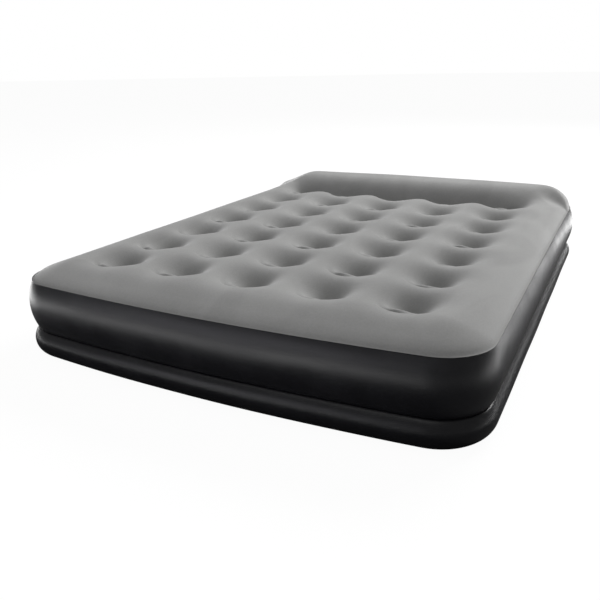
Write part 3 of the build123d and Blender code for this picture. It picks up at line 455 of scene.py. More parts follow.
class MaterialShelf:
    """Every finish of the bed and its pump, by material slot."""

    def __init__(self, effects: SharedEffects, board_top: float) -> None:
        """Makes the materials.

        Args:
            effects: the shared node groups.
            board_top: height of the circuit board's upper face.
        """
        finishes = {
            "flocked_top": FlockFinish(),
            "black_vinyl": VinylFinish(),
            "inner_vinyl": VinylFinish(grey(0.42), grey(0.5), 0.45, 0.4, 700.0),
            "soft_black": MouldedFinish(grey(0.019), 0.45, Grain.PEBBLE, 900.0, 0.0001),
            "rubber_black": MouldedFinish(grey(0.017), 0.75, Grain.SPARK, 1200.0, 0.00008),
            "pump_black": MouldedFinish(grey(0.028), 0.52),
            "pump_grey": MouldedFinish(grey(0.075, -0.02), 0.48, Grain.SPARK, 1300.0, 0.00009),
            "knob_dark": MouldedFinish(grey(0.035), 0.4, Grain.SPARK, 1700.0, 0.00005),
            "rocker_gloss": MouldedFinish(grey(0.014), 0.16, Grain.SMOOTH, variation=0.05),
            "screw_steel": MetalFinish(grey(0.5), 0.32),
            "pin_steel": MetalFinish(grey(0.6), 0.25),
            "plated_steel": MetalFinish(grey(0.62, 0.01), 0.3),
            "white_acetal": MouldedFinish(grey(0.72, 0.02), 0.42, Grain.SPARK, 1600.0, 0.00004),
            "bronze": MetalFinish((0.6, 0.42, 0.22, 1.0), 0.45, Grain.SPARK),
            "ferrite": MouldedFinish(grey(0.07), 0.7, Grain.SPARK, 1400.0, 0.00008),
            "core_iron": MetalFinish(grey(0.22), 0.5, Grain.BRUSHED, tarnish_amount=0.5),
            "copper": MetalFinish((0.72, 0.35, 0.2, 1.0), 0.3),
            "carbon": MouldedFinish(grey(0.035), 0.6, Grain.SPARK, 1400.0, 0.00007),
            "board_green": BoardFinish(top=board_top),
            "flap_plastic": MouldedFinish(grey(0.28), 0.5),
        }
        self.materials = {slot: finish.make(slot, effects) for slot, finish in finishes.items()}

    def dress(self, piece: bpy.types.Object, slot: str) -> bpy.types.Object:
        """Gives a new piece its finish and names its slot.

        Args:
            piece: the new piece.
            slot: the record's material slot.

        Returns:
            The piece.
        """
        piece.data.materials.clear()
        piece.data.materials.append(self.materials[slot])
        return piece

    def dress_node(self, node: bpy.types.Object, slot: str) -> None:
        """Puts the finish on a carried-over CAD node's own material slots."""
        for holder in node.material_slots:
            holder.material = self.materials[slot]
        if not node.material_slots:
            node.data.materials.append(self.materials[slot])


# ------------------------------------------------------------------ the bed's plan
def ease(value: Array) -> Array:
    """Returns 0 to 1 with a soft start and end."""
    t = np.clip(value, 0.0, 1.0)
    return t * t * (3.0 - 2.0 * t)


def bell(value: Array) -> Array:
    """Returns 1 at nought, falling away evenly on both sides."""
    return np.exp(-(value**2))


@dataclass
class BedPlan:
    """Outline of the bed in plan: straight sides, bowed ends and round corners."""

    half_width: float
    half_length: float
    end_bow: float = 0.042
    corner_radius: float = 0.165
    seam_inset: float = 0.020
    end_radius: float = field(init=False)
    half_angle: float = field(init=False)
    centre_y: float = field(init=False)
    corner_x: float = field(init=False)
    corner_y: float = field(init=False)

    def __post_init__(self) -> None:
        """Works out the ends' radius and the corners' centres."""
        self.end_radius = (self.half_width**2 + self.end_bow**2) / (2 * self.end_bow)
        inner = self.end_radius - self.corner_radius
        self.corner_x = self.half_width - self.corner_radius
        self.half_angle = math.asin(self.corner_x / inner)
        self.centre_y = self.end_radius - self.half_length
        self.corner_y = inner * math.cos(self.half_angle) - self.centre_y

    @property
    def inner_radius(self) -> float:
        """Radius of the ends' arc through the corners' centres."""
        return self.end_radius - self.corner_radius

    @property
    def corner_span(self) -> float:
        """Angle that each corner turns through."""
        return math.pi / 2 - self.half_angle

    def spread(self, u: Array, v: Array, u_break: float, v_break: float,
               edge_inset: float, gather: float = 1.0) -> tuple[Array, Array, Array]:
        """Lays a square grid over the plan, its outer cells bent round the corners.

        Args:
            u: across, from -1 to 1.
            v: along, from -1 to 1.
            u_break: share of u inside the corners' centres.
            v_break: share of v inside the corners' centres.
            edge_inset: inset of the grid's edge from the bed's widest line.
            gather: above 1 puts more of the border's cells near the edge.

        Returns:
            x, y and the inset of each point.
        """
        a = np.clip((np.abs(u) - u_break) / (1 - u_break), 0, 1)
        b = np.clip((np.abs(v) - v_break) / (1 - v_break), 0, 1)
        across = np.clip(u / u_break, -1, 1) * self.half_angle
        along = np.clip(v / v_break, -1, 1)
        x = self.inner_radius * np.sin(across)
        reach = self.inner_radius * np.cos(across) - self.centre_y
        y = along * reach
        m = np.maximum(a, b)
        safe = np.maximum(m, 1e-9)
        half = self.corner_span / 2
        turn = np.where(a >= b, half * b / safe, self.corner_span - half * a / safe)
        in_corner = (a > 0) & (b > 0)
        side_only = (a > 0) & (b <= 0)
        straight_x = np.where(side_only, np.sign(u), np.sin(across))
        straight_y = np.where(side_only, 0.0, np.cos(across) * np.sign(v))
        dx = np.where(in_corner, np.cos(turn) * np.sign(u), straight_x)
        dy = np.where(in_corner, np.sin(turn) * np.sign(v), straight_y)
        width = self.corner_radius - edge_inset
        out = np.where(m > 0, width * (1 - (1 - m) ** gather), 0.0)
        inside = np.minimum(self.corner_x - np.abs(x), reach - np.abs(y))
        inset = np.where(m > 0, self.corner_radius - out, self.corner_radius + np.maximum(inside, 0))
        return x + out * dx, y + out * dy, inset

    def walk(self, way: Array) -> tuple[Array, Array, Array, Array]:
        """Goes once round the line through the corners' centres.

        Args:
            way: share of the way round, from 0 to 1, anticlockwise from the middle of the foot.

        Returns:
            x and y of the line and the x and y of the outward direction.
        """
        end = self.half_angle * self.end_radius
        corner = self.corner_span * self.corner_radius
        side = 2 * self.corner_y
        runs = [end, corner, side, corner, 2 * end, corner, side, corner, end]
        ends = np.cumsum([0.0] + runs)
        s = (way % 1.0) * ends[-1]
        part = np.clip(np.searchsorted(ends, s, side="right") - 1, 0, 8)
        t = (s - ends[part]) / np.array(runs)[part]
        angle = np.zeros_like(s)
        x, y = np.zeros_like(s), np.zeros_like(s)
        down = -math.pi / 2
        h, span = self.half_angle, self.corner_span
        starts = {0: down, 1: down + h, 3: 0.0, 4: math.pi / 2 - h, 5: math.pi / 2 + h, 7: math.pi,
                  8: 3 * math.pi / 2 - h}
        turns = {0: h, 1: span, 3: span, 4: 2 * h, 5: span, 7: span, 8: h}
        centres = {1: (1, -1), 3: (1, 1), 5: (-1, 1), 7: (-1, -1)}
        for index in range(9):
            here = part == index
            if index in starts:
                angle[here] = starts[index] + turns[index] * t[here]
            else:
                angle[here] = 0.0 if index == 2 else math.pi
            if index in centres:
                x[here], y[here] = centres[index][0] * self.corner_x, centres[index][1] * self.corner_y
            elif index in (2, 6):
                sign = 1 if index == 2 else -1
                x[here] = sign * self.corner_x
                y[here] = sign * (2 * t[here] - 1) * self.corner_y
            else:
                sign = 1 if index == 4 else -1
                x[here] = self.inner_radius * np.cos(angle[here])
                y[here] = self.inner_radius * np.sin(angle[here]) - sign * self.centre_y
        return x, y, np.cos(angle), np.sin(angle)


# ------------------------------------------------------------------ meshes
def finish_mesh(name: str, bm: bmesh.types.BMesh, smooth: bool = True) -> bpy.types.Object:
    """Turns a bmesh into an object at the origin.

    Args:
        name: the piece's name.
        bm: the shape, which is freed.
        smooth: whether its faces are shaded smooth.

    Returns:
        The new object.
    """
    mesh = bpy.data.meshes.new(name)
    bm.to_mesh(mesh)
    bm.free()
    mesh.shade_smooth() if smooth else mesh.shade_flat()
    piece = bpy.data.objects.new(name, mesh)
    bpy.context.scene.collection.objects.link(piece)
    LOG.info("piece %s: %d faces", name, len(mesh.polygons))
    return piece


def shaped_grid(x_cells: int, y_cells: int, shape: Callable[[Array, Array], Array]) -> bmesh.types.BMesh:
    """Makes a grid and moves its points.

    Args:
        x_cells: cells across.
        y_cells: cells along.
        shape: gives the points' places, n by 3, from their u and v in -1 to 1.

    Returns:
        The shaped grid.
    """
    bm = bmesh.new()
    bmesh.ops.create_grid(bm, x_segments=x_cells, y_segments=y_cells, size=1.0)
    flat = np.array([v.co for v in bm.verts])
    for vert, point in zip(bm.verts, shape(flat[:, 0], flat[:, 1])):
        vert.co = point
    return bm


def face_up(bm: bmesh.types.BMesh, up: bool = True) -> None:
    """Turns an open sheet's faces so that on the whole they look up, or down."""
    bm.normal_update()
    total = sum(f.normal.z * f.calc_area() for f in bm.faces)
    if (total < 0) == up:
        bmesh.ops.reverse_faces(bm, faces=bm.faces[:])


@dataclass
class SleepingSurface:
    """Flocked top sheet: round border, egg-crate field over the coil beams, and the pillow."""

    plan: BedPlan
    columns: int = 5
    rows: int = 7
    column_pitch: float = 0.2475
    row_pitch: float = 0.2244
    foot_to_row: float = 0.285
    seam_height: float = 0.250
    crown_height: float = 0.288
    crown_inset: float = 0.068
    crest_run: float = 0.12
    edge_run: float = 0.012
    border_run: float = 0.120
    border_fall: float = 2.1
    crest_height: float = 0.3040
    pit_depth: float = 0.0800
    pit_spread: float = 0.0800
    core_share: float = 0.20
    core_spread: float = 0.034
    gutter_y: float = 0.045
    gutter_width: float = 0.052
    gutter_depth: float = 0.052
    pit_reach: float = 0.30
    fold_radius: float = 0.080
    fold_width: float = 0.0095
    fold_depth: float = 0.0135
    fold_turn: float = 0.45
    fold_way: float = 238.0
    fold_way_swing: float = 7.0
    ridge_radius: float = 0.062
    ridge_width: float = 0.0120
    ridge_rise: float = 0.0150
    ridge_turn: float = 0.75
    ridge_lead: float = 0.35
    pillow_height: float = 0.3545
    pillow_crest_inset: float = 0.165
    pillow_side_radius: float = 0.1595
    pillow_front_radius: float = 0.1987
    pillow_join: float = 0.012
    bed_join: float = 0.011
    end_start: float = 0.40
    end_fade: float = 0.24
    end_ramp: float = 0.25
    end_inset: float = 0.012
    end_slope: float = 0.235
    end_back: float = 0.13
    left_fill: float = 0.30
    right_fill: float = 0.90
    gutter_end: float = 0.56
    gutter_fade: float = 0.15
    ripple_rise: float = 0.0007
    ripple_run: float = 0.05
    join_run: float = 0.03
    cell: float = 0.0060
    border_cells: int = 28

    def pits(self) -> Iterable[tuple[float, float]]:
        """Returns the middle of each dimple in plan."""
        first = -self.plan.half_length + self.foot_to_row
        for row in range(self.rows):
            for column in range(self.columns):
                yield (column - (self.columns - 1) / 2) * self.column_pitch, first + row * self.row_pitch

    def border(self, inset: Array) -> Array:
        """Height of the round border over the seam, level past its crown."""
        share = np.clip((inset - self.plan.seam_inset) / self.border_run, 0, 1)
        rise = (self.crown_height - self.seam_height) * (1 - (1 - share) ** self.border_fall)
        lift = (self.crest_height - self.crown_height) * ease((inset - self.crown_inset) / self.crest_run)
        return self.seam_height + rise + lift

    def egg_crate(self, x: Array, y: Array) -> Array:
        """Depth of the dimples below the crests, with each one's puckered fold at its lip."""
        keep = np.ones_like(x)
        depth = np.zeros_like(x)
        for index, (cx, cy) in enumerate(self.pits()):
            dx, dy = x - cx, y - cy
            r = np.hypot(dx, dy)
            near = r < self.pit_reach
            funnel = (1 - self.core_share) * bell(r[near] / self.pit_spread)
            keep[near] *= 1 - funnel - self.core_share * bell(r[near] / self.core_spread)
            angle = np.arctan2(dy[near], dx[near])
            way = math.radians(self.fold_way + self.fold_way_swing * math.sin(2.3 * index))
            turn = (angle - way + math.pi) % (2 * math.pi) - math.pi
            fold = bell(turn / self.fold_turn) * bell((r[near] - self.fold_radius) / self.fold_width)
            ridge = (bell((turn - self.ridge_lead) / self.ridge_turn)
                     * bell((r[near] - self.ridge_radius) / self.ridge_width))
            strength = 0.85 + 0.25 * math.sin(1.7 * index + 0.4)
            depth[near] += strength * (self.fold_depth * fold - self.ridge_rise * ridge)
        last = max(cy for _, cy in self.pits())
        inside = ease((self.gutter_end - np.abs(x)) / self.gutter_fade + 0.5)
        gutter = inside * bell((y - last - self.gutter_y) / self.gutter_width)
        keep *= 1 - np.clip(self.gutter_depth / self.pit_depth * gutter, 0, 1)
        return self.pit_depth * (1 - keep) + depth

    def pillow(self, inset: Array, x: Array, y: Array) -> Array:
        """Height of the pillow's bolster, low where there is none."""
        rise = self.pillow_height - self.seam_height
        run = np.clip(self.pillow_crest_inset - inset, 0, self.pillow_side_radius * 0.999)
        side = self.pillow_height - self.pillow_side_radius + np.sqrt(self.pillow_side_radius**2 - run**2)
        crest_y = self.plan.half_length - self.pillow_crest_inset
        ahead = np.clip(crest_y - y, 0, self.pillow_front_radius * 0.995)
        front_drop = np.sqrt(self.pillow_front_radius**2 - ahead**2)
        front = self.pillow_height - self.pillow_front_radius + front_drop
        easy = self.seam_height + rise * ease(1 - (crest_y - y) / self.end_ramp)
        end = ease((np.abs(x) - self.end_start) / self.end_fade)
        slope = ease((self.plan.half_width - np.abs(x) - self.end_inset) / self.end_slope)
        fill = self.left_fill + (self.right_fill - self.left_fill) * ease(x / self.plan.half_width + 0.5)
        slope += fill * (1 - slope) * ease((y - crest_y + self.end_back) / self.end_back)
        shoulder = self.seam_height + rise * slope
        side = soft_join(side, shoulder, self.pillow_join, highest=False)
        return soft_join(side, front + (easy - front) * end, self.pillow_join, highest=False)

    def height(self, x: Array, y: Array, inset: Array) -> Array:
        """Returns the sheet's height at each point of the plan."""
        field_height = self.border(inset) - self.egg_crate(x, y)
        bolster = self.pillow(inset, x, y)
        from_seam = inset - self.plan.seam_inset
        ripple = self.ripple_rise * np.sin(11 * x + 3.1 * y) * np.sin(7.3 * y - 2.2 * x + 0.7)
        loose = ease(from_seam / self.ripple_run)
        joined = soft_join(field_height, bolster, self.bed_join, highest=True)
        seam = ease(from_seam / self.join_run)
        exact = np.maximum(field_height, bolster)
        rise = exact + (joined - exact) * seam + ripple * loose - self.seam_height
        start = np.sqrt(np.clip(from_seam / self.edge_run, 0, 1))
        return self.seam_height + rise * start

    def make(self) -> bpy.types.Object:
        """Returns the flocked sheet."""
        u_inner = round(2 * self.plan.corner_x / self.cell)
        v_inner = round(2 * self.plan.corner_y / self.cell)
        x_cells, y_cells = u_inner + 2 * self.border_cells, v_inner + 2 * self.border_cells

        def shape(u: Array, v: Array) -> Array:
            """Places the grid's points on the inflated sheet."""
            x, y, inset = self.plan.spread(u, v, u_inner / x_cells, v_inner / y_cells,
                                           self.plan.seam_inset, 1.35)
            return np.column_stack([x, y, self.height(x, y, inset)])

        bm = shaped_grid(x_cells, y_cells, shape)
        face_up(bm)
        return finish_mesh("flocked_top", bm)


def soft_join(a: Array, b: Array, width: float, highest: bool) -> Array:
    """Returns the higher or the lower of two surfaces, rounded where they meet."""
    sign = 1.0 if highest else -1.0
    gap = a - b
    return 0.5 * (a + b + sign * (np.sqrt(gap * gap + width * width)))


@dataclass
class SideWall:
    """Vinyl wall of one tier: an arched band wrapped round the outline, with slack near its welds."""

    plan: BedPlan
    tier: Tier
    around: int = 760
    up: int = 34
    tuck: float = 0.009
    broad_slack: float = 0.0008
    pucker_slack: float = 0.0009
    even_reach: float = 0.17

    @staticmethod
    def arch(radius: float, middle: float, low: float, high: float) -> Array:
        """Returns an arc's points, from one angle to the other, as inset and height."""
        angles = np.linspace(low, high, ARCH_POINTS)
        return np.column_stack([radius - radius * np.cos(angles), middle + radius * np.sin(angles)])

    def profile(self) -> Array:
        """Returns the band's section, from its lower edge up, as inset and height."""
        if self.tier is Tier.UPPER:
            half = math.asin(UPPER_ARCH_HALF_HEIGHT / UPPER_ARCH_RADIUS)
            arch = self.arch(UPPER_ARCH_RADIUS, UPPER_ARCH_MIDDLE, -half, half)
            fold = np.array([[0.0200 + self.tuck, 0.0912], [0.0200 + 0.5 * self.tuck, 0.0897]])
            return np.vstack([fold, arch[1:]])
        top = math.asin((LOWER_ARCH_TOP - LOWER_ARCH_RADIUS) / LOWER_ARCH_RADIUS)
        arch = self.arch(LOWER_ARCH_RADIUS, LOWER_ARCH_RADIUS, -math.pi / 2, top)
        fold = np.array([[arch[-1][0] + 0.5 * self.tuck, 0.0902], [arch[-1][0] + self.tuck, 0.0898]])
        return np.vstack([arch, fold])

    def slack(self, way: Array, rise: Array) -> Array:
        """Returns how far the film stands in or out from its even arch, least at the welds."""
        turn = 2 * math.pi * way
        broad = self.broad_slack * np.sin(9 * turn + 1.3) * np.sin(5 * turn + 2.0 * rise)
        near_weld = bell(rise / 0.16) if self.tier is Tier.UPPER else bell((1 - rise) / 0.2)
        gathers = np.sin(61 * turn + 2 * np.sin(13 * turn)) * ease(np.sin(3 * turn) + 0.6)
        pucker = self.pucker_slack * near_weld * gathers
        return (broad + pucker) * np.sin(math.pi * np.clip(rise, 0, 1))

    def make(self, pump: "PumpSeat") -> bpy.types.Object:
        """Returns the wall.

        Args:
            pump: the pump's place, where the film lies even.
        """
        section = self.profile()
        steps = np.concatenate([[0.0], np.cumsum(np.hypot(*np.diff(section, axis=0).T))])
        steps /= steps[-1]

        def shape(u: Array, v: Array) -> Array:
            """Wraps the grid round the outline."""
            way, rise = (u + 1) / 2, (v + 1) / 2
            inset, z = np.interp(rise, steps, section[:, 0]), np.interp(rise, steps, section[:, 1])
            x, y, dx, dy = self.plan.walk(way)
            out = self.plan.corner_radius - inset
            from_pump = np.hypot(x + out * dx - pump.middle.x, y + out * dy - pump.middle.y)
            even = 1 - np.exp(-(from_pump / self.even_reach) ** 6)
            out = out + self.slack(way, rise) * even
            return np.column_stack([x + out * dx, y + out * dy, z])

        bm = shaped_grid(self.around, self.up, shape)
        bmesh.ops.remove_doubles(bm, verts=bm.verts[:], dist=1e-6)
        if self.tier is Tier.UPPER:
            pump.cut_opening(bm)
        bmesh.ops.recalc_face_normals(bm, faces=bm.faces[:])
        bm.normal_update()
        outward = sum((f.calc_center_median().xy.normalized()).dot(f.normal.xy) for f in bm.faces)
        if outward < 0:
            bmesh.ops.reverse_faces(bm, faces=bm.faces[:])
        return finish_mesh(f"{self.tier.value}_wall", bm)


@dataclass
class PumpSeat:
    """Where the pump's frame is welded into the head wall."""

    plan: BedPlan
    inset_from_corner: float = 0.162
    width: float = 0.204
    height: float = 0.120
    corner: float = 0.016
    wall_radius: float = UPPER_ARCH_RADIUS
    wall_middle: float = UPPER_ARCH_MIDDLE
    weld_width: float = 0.013
    weld_rise: float = 0.0011

    @property
    def turn(self) -> float:
        """Angle round the head's bow from its middle to the pump."""
        return math.asin((self.plan.corner_x - self.inset_from_corner) / self.plan.end_radius)

    @property
    def middle(self) -> Vector:
        """Middle of the opening, on the wall's outside."""
        return self.on_wall(0.0, 0.0, 0.0)

    def on_wall(self, x: float, z: float, rise: float) -> Vector:
        """Returns a point over the wall.

        Args:
            x: along the wall from the opening's middle, towards +X.
            z: up from the opening's middle.
            rise: out from the film.
        """
        inset = self.wall_radius - math.sqrt(self.wall_radius**2 - z * z)
        radius = self.plan.end_radius - inset + rise
        angle = math.pi / 2 + self.turn - x / self.plan.end_radius
        y = radius * math.sin(angle) - self.plan.centre_y
        return Vector((radius * math.cos(angle), y, self.wall_middle + z))

    def cut_opening(self, bm: bmesh.types.BMesh) -> None:
        """Cuts the wall along the frame's outline and takes the middle out."""
        across = Matrix.Rotation(self.turn, 3, "Z") @ Vector((1, 0, 0))
        middle = self.middle
        diagonal = math.sqrt(0.5)
        half_x, half_z, cut = self.width / 2, self.height / 2, self.corner * (1 - diagonal) * 1.4
        slanted = (half_x + half_z - cut) * diagonal
        planes = [((s, 0), half_x) for s in (1, -1)] + [((0, s), half_z) for s in (1, -1)]
        planes += [((s * diagonal, t * diagonal), slanted) for s in (1, -1) for t in (1, -1)]

        def local(point: Vector) -> tuple[float, float]:
            """Returns a point's place along the wall and up it."""
            away = point - middle
            return away.dot(across), away.z

        def reach(face: bmesh.types.BMFace) -> bool:
            """Tells whether a face lies near the opening."""
            x, z = local(face.calc_center_median())
            return abs(x) < half_x + 0.03 and abs(z) < half_z + 0.012 and face.calc_center_median().y > 0.8

        for (nx, nz), distance in planes:
            near = [f for f in bm.faces if reach(f)]
            edges = list({e for f in near for e in f.edges})
            corners = list({v for f in near for v in f.verts})
            normal = across * nx + Vector((0, 0, nz))
            bmesh.ops.bisect_plane(bm, geom=near + edges + corners, plane_co=middle + normal * distance,
                                   plane_no=normal, dist=1e-7)

        def inside(face: bmesh.types.BMFace) -> bool:
            """Tells whether a face lies within the opening."""
            if not reach(face):
                return False
            x, z = local(face.calc_center_median())
            return all(x * nx + z * nz < d for (nx, nz), d in planes)

        bmesh.ops.delete(bm, geom=[f for f in bm.faces if inside(f)], context="FACES")

    def weld(self) -> bpy.types.Object:
        """Returns the welded flange that rings the pump's frame."""
        bm = bmesh.new()
        sections = 5
        rings = []
        for index in range(sections):
            grow = index / (sections - 1)
            offset = -0.0025 + grow * (self.weld_width + 0.0025)
            rise = self.weld_rise * math.sin(math.pi * min(1.0, 0.22 + grow * 0.78)) ** 0.5
            rings.append((offset, rise if index < sections - 1 else -0.0002))
        loops = []
        for offset, rise in rings:
            loops.append([bm.verts.new(self.on_wall(x, z, rise)) for x, z in self._outline(offset)])
        edges = []
        for loop in loops:
            edges.append([bm.edges.new((loop[i], loop[(i + 1) % len(loop)])) for i in range(len(loop))])
        for inner, outer in zip(edges, edges[1:]):
            bmesh.ops.bridge_loops(bm, edges=inner + outer)
        bmesh.ops.recalc_face_normals(bm, faces=bm.faces[:])
        bm.normal_update()
        if sum(f.normal.y * f.calc_area() for f in bm.faces) < 0:
            bmesh.ops.reverse_faces(bm, faces=bm.faces[:])
        return finish_mesh("pump_weld_flange", bm)

    def _outline(self, offset: float) -> list[tuple[float, float]]:
        """Returns a rounded rectangle's points, grown by an offset."""
        points = []
        radius = self.corner + offset
        for quarter, (sx, sz) in enumerate(((1, 1), (-1, 1), (-1, -1), (1, -1))):
            cx, cz = sx * (self.width / 2 - self.corner), sz * (self.height / 2 - self.corner)
            for step in range(9):
                angle = math.pi / 2 * (quarter + step / 8)
                points.append((cx + radius * math.cos(angle), cz + radius * math.sin(angle)))
            nxt = ((-1, 1), (-1, -1), (1, -1), (1, 1))[quarter]
            end = points[-1]
            radius_angle = math.pi / 2 * (quarter + 1)
            tx = nxt[0] * (self.width / 2 - self.corner) + radius * math.cos(radius_angle)
            tz = nxt[1] * (self.height / 2 - self.corner) + radius * math.sin(radius_angle)
            for step in range(1, 12):
                points.append((end[0] + (tx - end[0]) * step / 12, end[1] + (tz - end[1]) * step / 12))
        return points


@dataclass
class WeldedTrim:
    """Narrow weld lips that run round the bed at the seam and at the floor."""

    plan: BedPlan
    around: int = 720

    def lip(self, name: str, inset: float, height: float, radius: float, tilt: float) -> bpy.types.Object:
        """Returns one flattened bead round the outline.

        Args:
            name: the piece's name.
            inset: inset of the bead's middle.
            height: its height.
            radius: half its width.
            tilt: angle of its flat side, in radians from level.
        """
        def shape(u: Array, v: Array) -> Array:
            """Wraps the grid round the outline and into a tube."""
            x, y, dx, dy = self.plan.walk((u + 1) / 2)
            turn = math.pi * v
            flat = radius * np.cos(turn)
            thick = 0.45 * radius * np.sin(turn)
            out = self.plan.corner_radius - inset + flat * math.cos(tilt) - thick * math.sin(tilt)
            z = height + flat * math.sin(tilt) + thick * math.cos(tilt)
            return np.column_stack([x + out * dx, y + out * dy, z])

        bm = shaped_grid(self.around, 8, shape)
        bmesh.ops.remove_doubles(bm, verts=bm.verts[:], dist=1e-6)
        bmesh.ops.recalc_face_normals(bm, faces=bm.faces[:])
        return finish_mesh(name, bm)


@dataclass
class InnerFilms:
    """Films inside the bed: the sheet between the tiers, coil tubes, tie strips and the floor sheet."""

    plan: BedPlan
    surface: SleepingSurface
    tier_height: float = 0.090
    tube_radius: float = 0.031
    tube_waist: float = 0.0265
    tube_top: float = 0.2205
    strips: int = 6
    strip_end_gap: float = 0.190

    def flat_film(self, name: str, edge_inset: float, height: Callable[[Array, Array], Array],
                  up: bool) -> bpy.types.Object:
        """Returns a sheet that fills the plan.

        Args:
            name: the piece's name.
            edge_inset: inset of its edge.
            height: its height from x and y.
            up: whether its outer face looks up.
        """
        def shape(u: Array, v: Array) -> Array:
            """Places the grid's points on the film."""
            x, y, _ = self.plan.spread(u, v, 0.78, 0.82, edge_inset)
            return np.column_stack([x, y, height(x, y)])

        bm = shaped_grid(110, 150, shape)
        face_up(bm, up)
        return finish_mesh(name, bm)

    def tier_sheet(self) -> bpy.types.Object:
        """Returns the sheet between the tiers, a little domed between its welds."""
        def height(x: Array, y: Array) -> Array:
            """Domes the film between the tubes' welds."""
            wave_x = np.cos(2 * math.pi * x / self.surface.column_pitch)
            return self.tier_height + 0.0012 * wave_x * np.cos(2 * math.pi * y / self.surface.row_pitch)

        return self.flat_film("tier_sheet", 0.0275, height, True)

    def floor_sheet(self) -> bpy.types.Object:
        """Returns the sheet on the floor, drawn up a little along the tie strips."""
        pitch = 2 * self.plan.corner_x / (self.strips - 1)

        def height(x: Array, y: Array) -> Array:
            """Lifts the film along the strips' weld lines."""
            away = np.abs((x / pitch) % 1.0 - 0.5) * pitch
            ends = ease((self.plan.half_length - self.strip_end_gap - np.abs(y)) / 0.05)
            return 0.0015 * bell(away / 0.012) * ends

        return self.flat_film("floor_sheet", 0.050, height, False)

    def coil_tubes(self) -> bpy.types.Object:
        """Returns the vented tubes that hold the dimples down."""
        bm = bmesh.new()
        bottom = self.tier_height + 0.001
        height = self.tube_top - bottom
        bmesh.ops.create_cone(bm, segments=28, radius1=self.tube_radius, radius2=self.tube_radius,
                              depth=height)
        upright = [e for e in bm.edges if abs(e.verts[0].co.z - e.verts[1].co.z) > 0.01]
        bmesh.ops.subdivide_edges(bm, edges=upright, cuts=8)
        for vert in bm.verts:
            near_middle = 1 - (2 * vert.co.z / height) ** 2
            scale = 1 - (1 - self.tube_waist / self.tube_radius) * near_middle
            vert.co.x *= scale
            vert.co.y *= scale
        centres = {f: f.calc_center_median() for f in bm.faces}
        vents = [f for f, c in centres.items() if abs(c.z) < 0.009 and min(abs(c.x), abs(c.y)) < 0.0045]
        bmesh.ops.delete(bm, geom=vents, context="FACES")
        tubes = bmesh.new()
        spare = bpy.data.meshes.new("coil_tube_copy")
        for number, (x, y) in enumerate(self.surface.pits()):
            place = Matrix.Translation((x, y, bottom + height / 2)) @ Matrix.Rotation(0.31 * number, 4, "Z")
            one = bm.copy()
            bmesh.ops.transform(one, matrix=place, verts=one.verts[:])
            one.to_mesh(spare)
            one.free()
            tubes.from_mesh(spare)
        bpy.data.meshes.remove(spare)
        bm.free()
        return finish_mesh("coil_tubes", tubes)

    def tie_strips(self) -> bpy.types.Object:
        """Returns the upright strips of the lower tier, each with round vents."""
        pitch = 2 * self.plan.corner_x / (self.strips - 1)
        length = 2 * (self.plan.half_length - self.strip_end_gap)
        bm = bmesh.new()
        low, high = 0.0018, self.tier_height - 0.0015
        for index in range(self.strips):
            made = bmesh.ops.create_grid(bm, x_segments=66, y_segments=4, size=0.5)["verts"]
            x = (index - (self.strips - 1) / 2) * pitch
            for vert in made:
                along, rise = vert.co.x, vert.co.y + 0.5
                bow = 0.003 * math.sin(math.pi * rise) * math.sin(along * 40 + index)
                vert.co = (x + bow, along * length, low + (high - low) * rise)
        holes = [f for f in bm.faces if 0.3 < (f.calc_center_median().z - low) / (high - low) < 0.7
                 and abs(f.calc_center_median().y / 0.24 % 1.0 - 0.5) < 0.09]
        bmesh.ops.delete(bm, geom=holes, context="FACES")
        return finish_mesh("tie_strips", bm)


@dataclass
class Bed:
    """The inflated bed: skins, welds and inner films, each riding on the bed's body."""

    shelf: MaterialShelf
    plan: BedPlan
    body: str = "bed"
    pieces: dict[str, bpy.types.Object] = field(default_factory=dict)

    def keep(self, piece: bpy.types.Object, slot: str, *nodes: str, fill: float | None = None) -> None:
        """Dresses a piece, lets it ride on the bed and stand for its CAD nodes.

        Args:
            piece: the new piece.
            slot: the record's material slot.
            nodes: the CAD nodes that it stands for.
            fill: how full a padded piece is; not used.
        """
        self.shelf.dress(piece, slot)
        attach(piece, self.body)
        if nodes:
            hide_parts(*nodes)
        self.pieces[piece.name] = piece

    def build(self) -> None:
        """Makes every piece of the bed."""
        surface = SleepingSurface(self.plan)
        seat = PumpSeat(self.plan)
        films = InnerFilms(self.plan, surface)
        trim = WeldedTrim(self.plan)
        self.keep(surface.make(), "flocked_top", "top_sheet", fill=0.95)
        upper, lower = SideWall(self.plan, Tier.UPPER), SideWall(self.plan, Tier.LOWER, up=26)
        self.keep(upper.make(seat), "black_vinyl", "upper_side_band", fill=1.0)
        self.keep(lower.make(seat), "black_vinyl", "lower_side_band", fill=1.0)
        self.keep(films.floor_sheet(), "black_vinyl", "bottom_sheet", fill=1.0)
        self.keep(films.tier_sheet(), "inner_vinyl", "middle_sheet")
        self.keep(films.coil_tubes(), "inner_vinyl", "coil_beams")
        self.keep(films.tie_strips(), "inner_vinyl", "lower_beams")
        self.keep(seat.weld(), "black_vinyl")
        self.keep(trim.lip("seam_weld", 0.0195, 0.2500, 0.0019, 1.05), "black_vinyl")


@dataclass
class Pump:
    """The built-in pump, whose pieces come from CAD and get their finishes here."""

    shelf: MaterialShelf
    nodes: dict[str, bpy.types.Object]
    record: dict

    def build(self) -> None:
        """Dresses each CAD node in the finish of its material slot."""
        for part in self.record["subparts"]:
            node = self.nodes[part["node"]]
            self.shelf.dress_node(node, part["material_slot"])
            LOG.info("node %s: %s", part["node"], part["material_slot"])


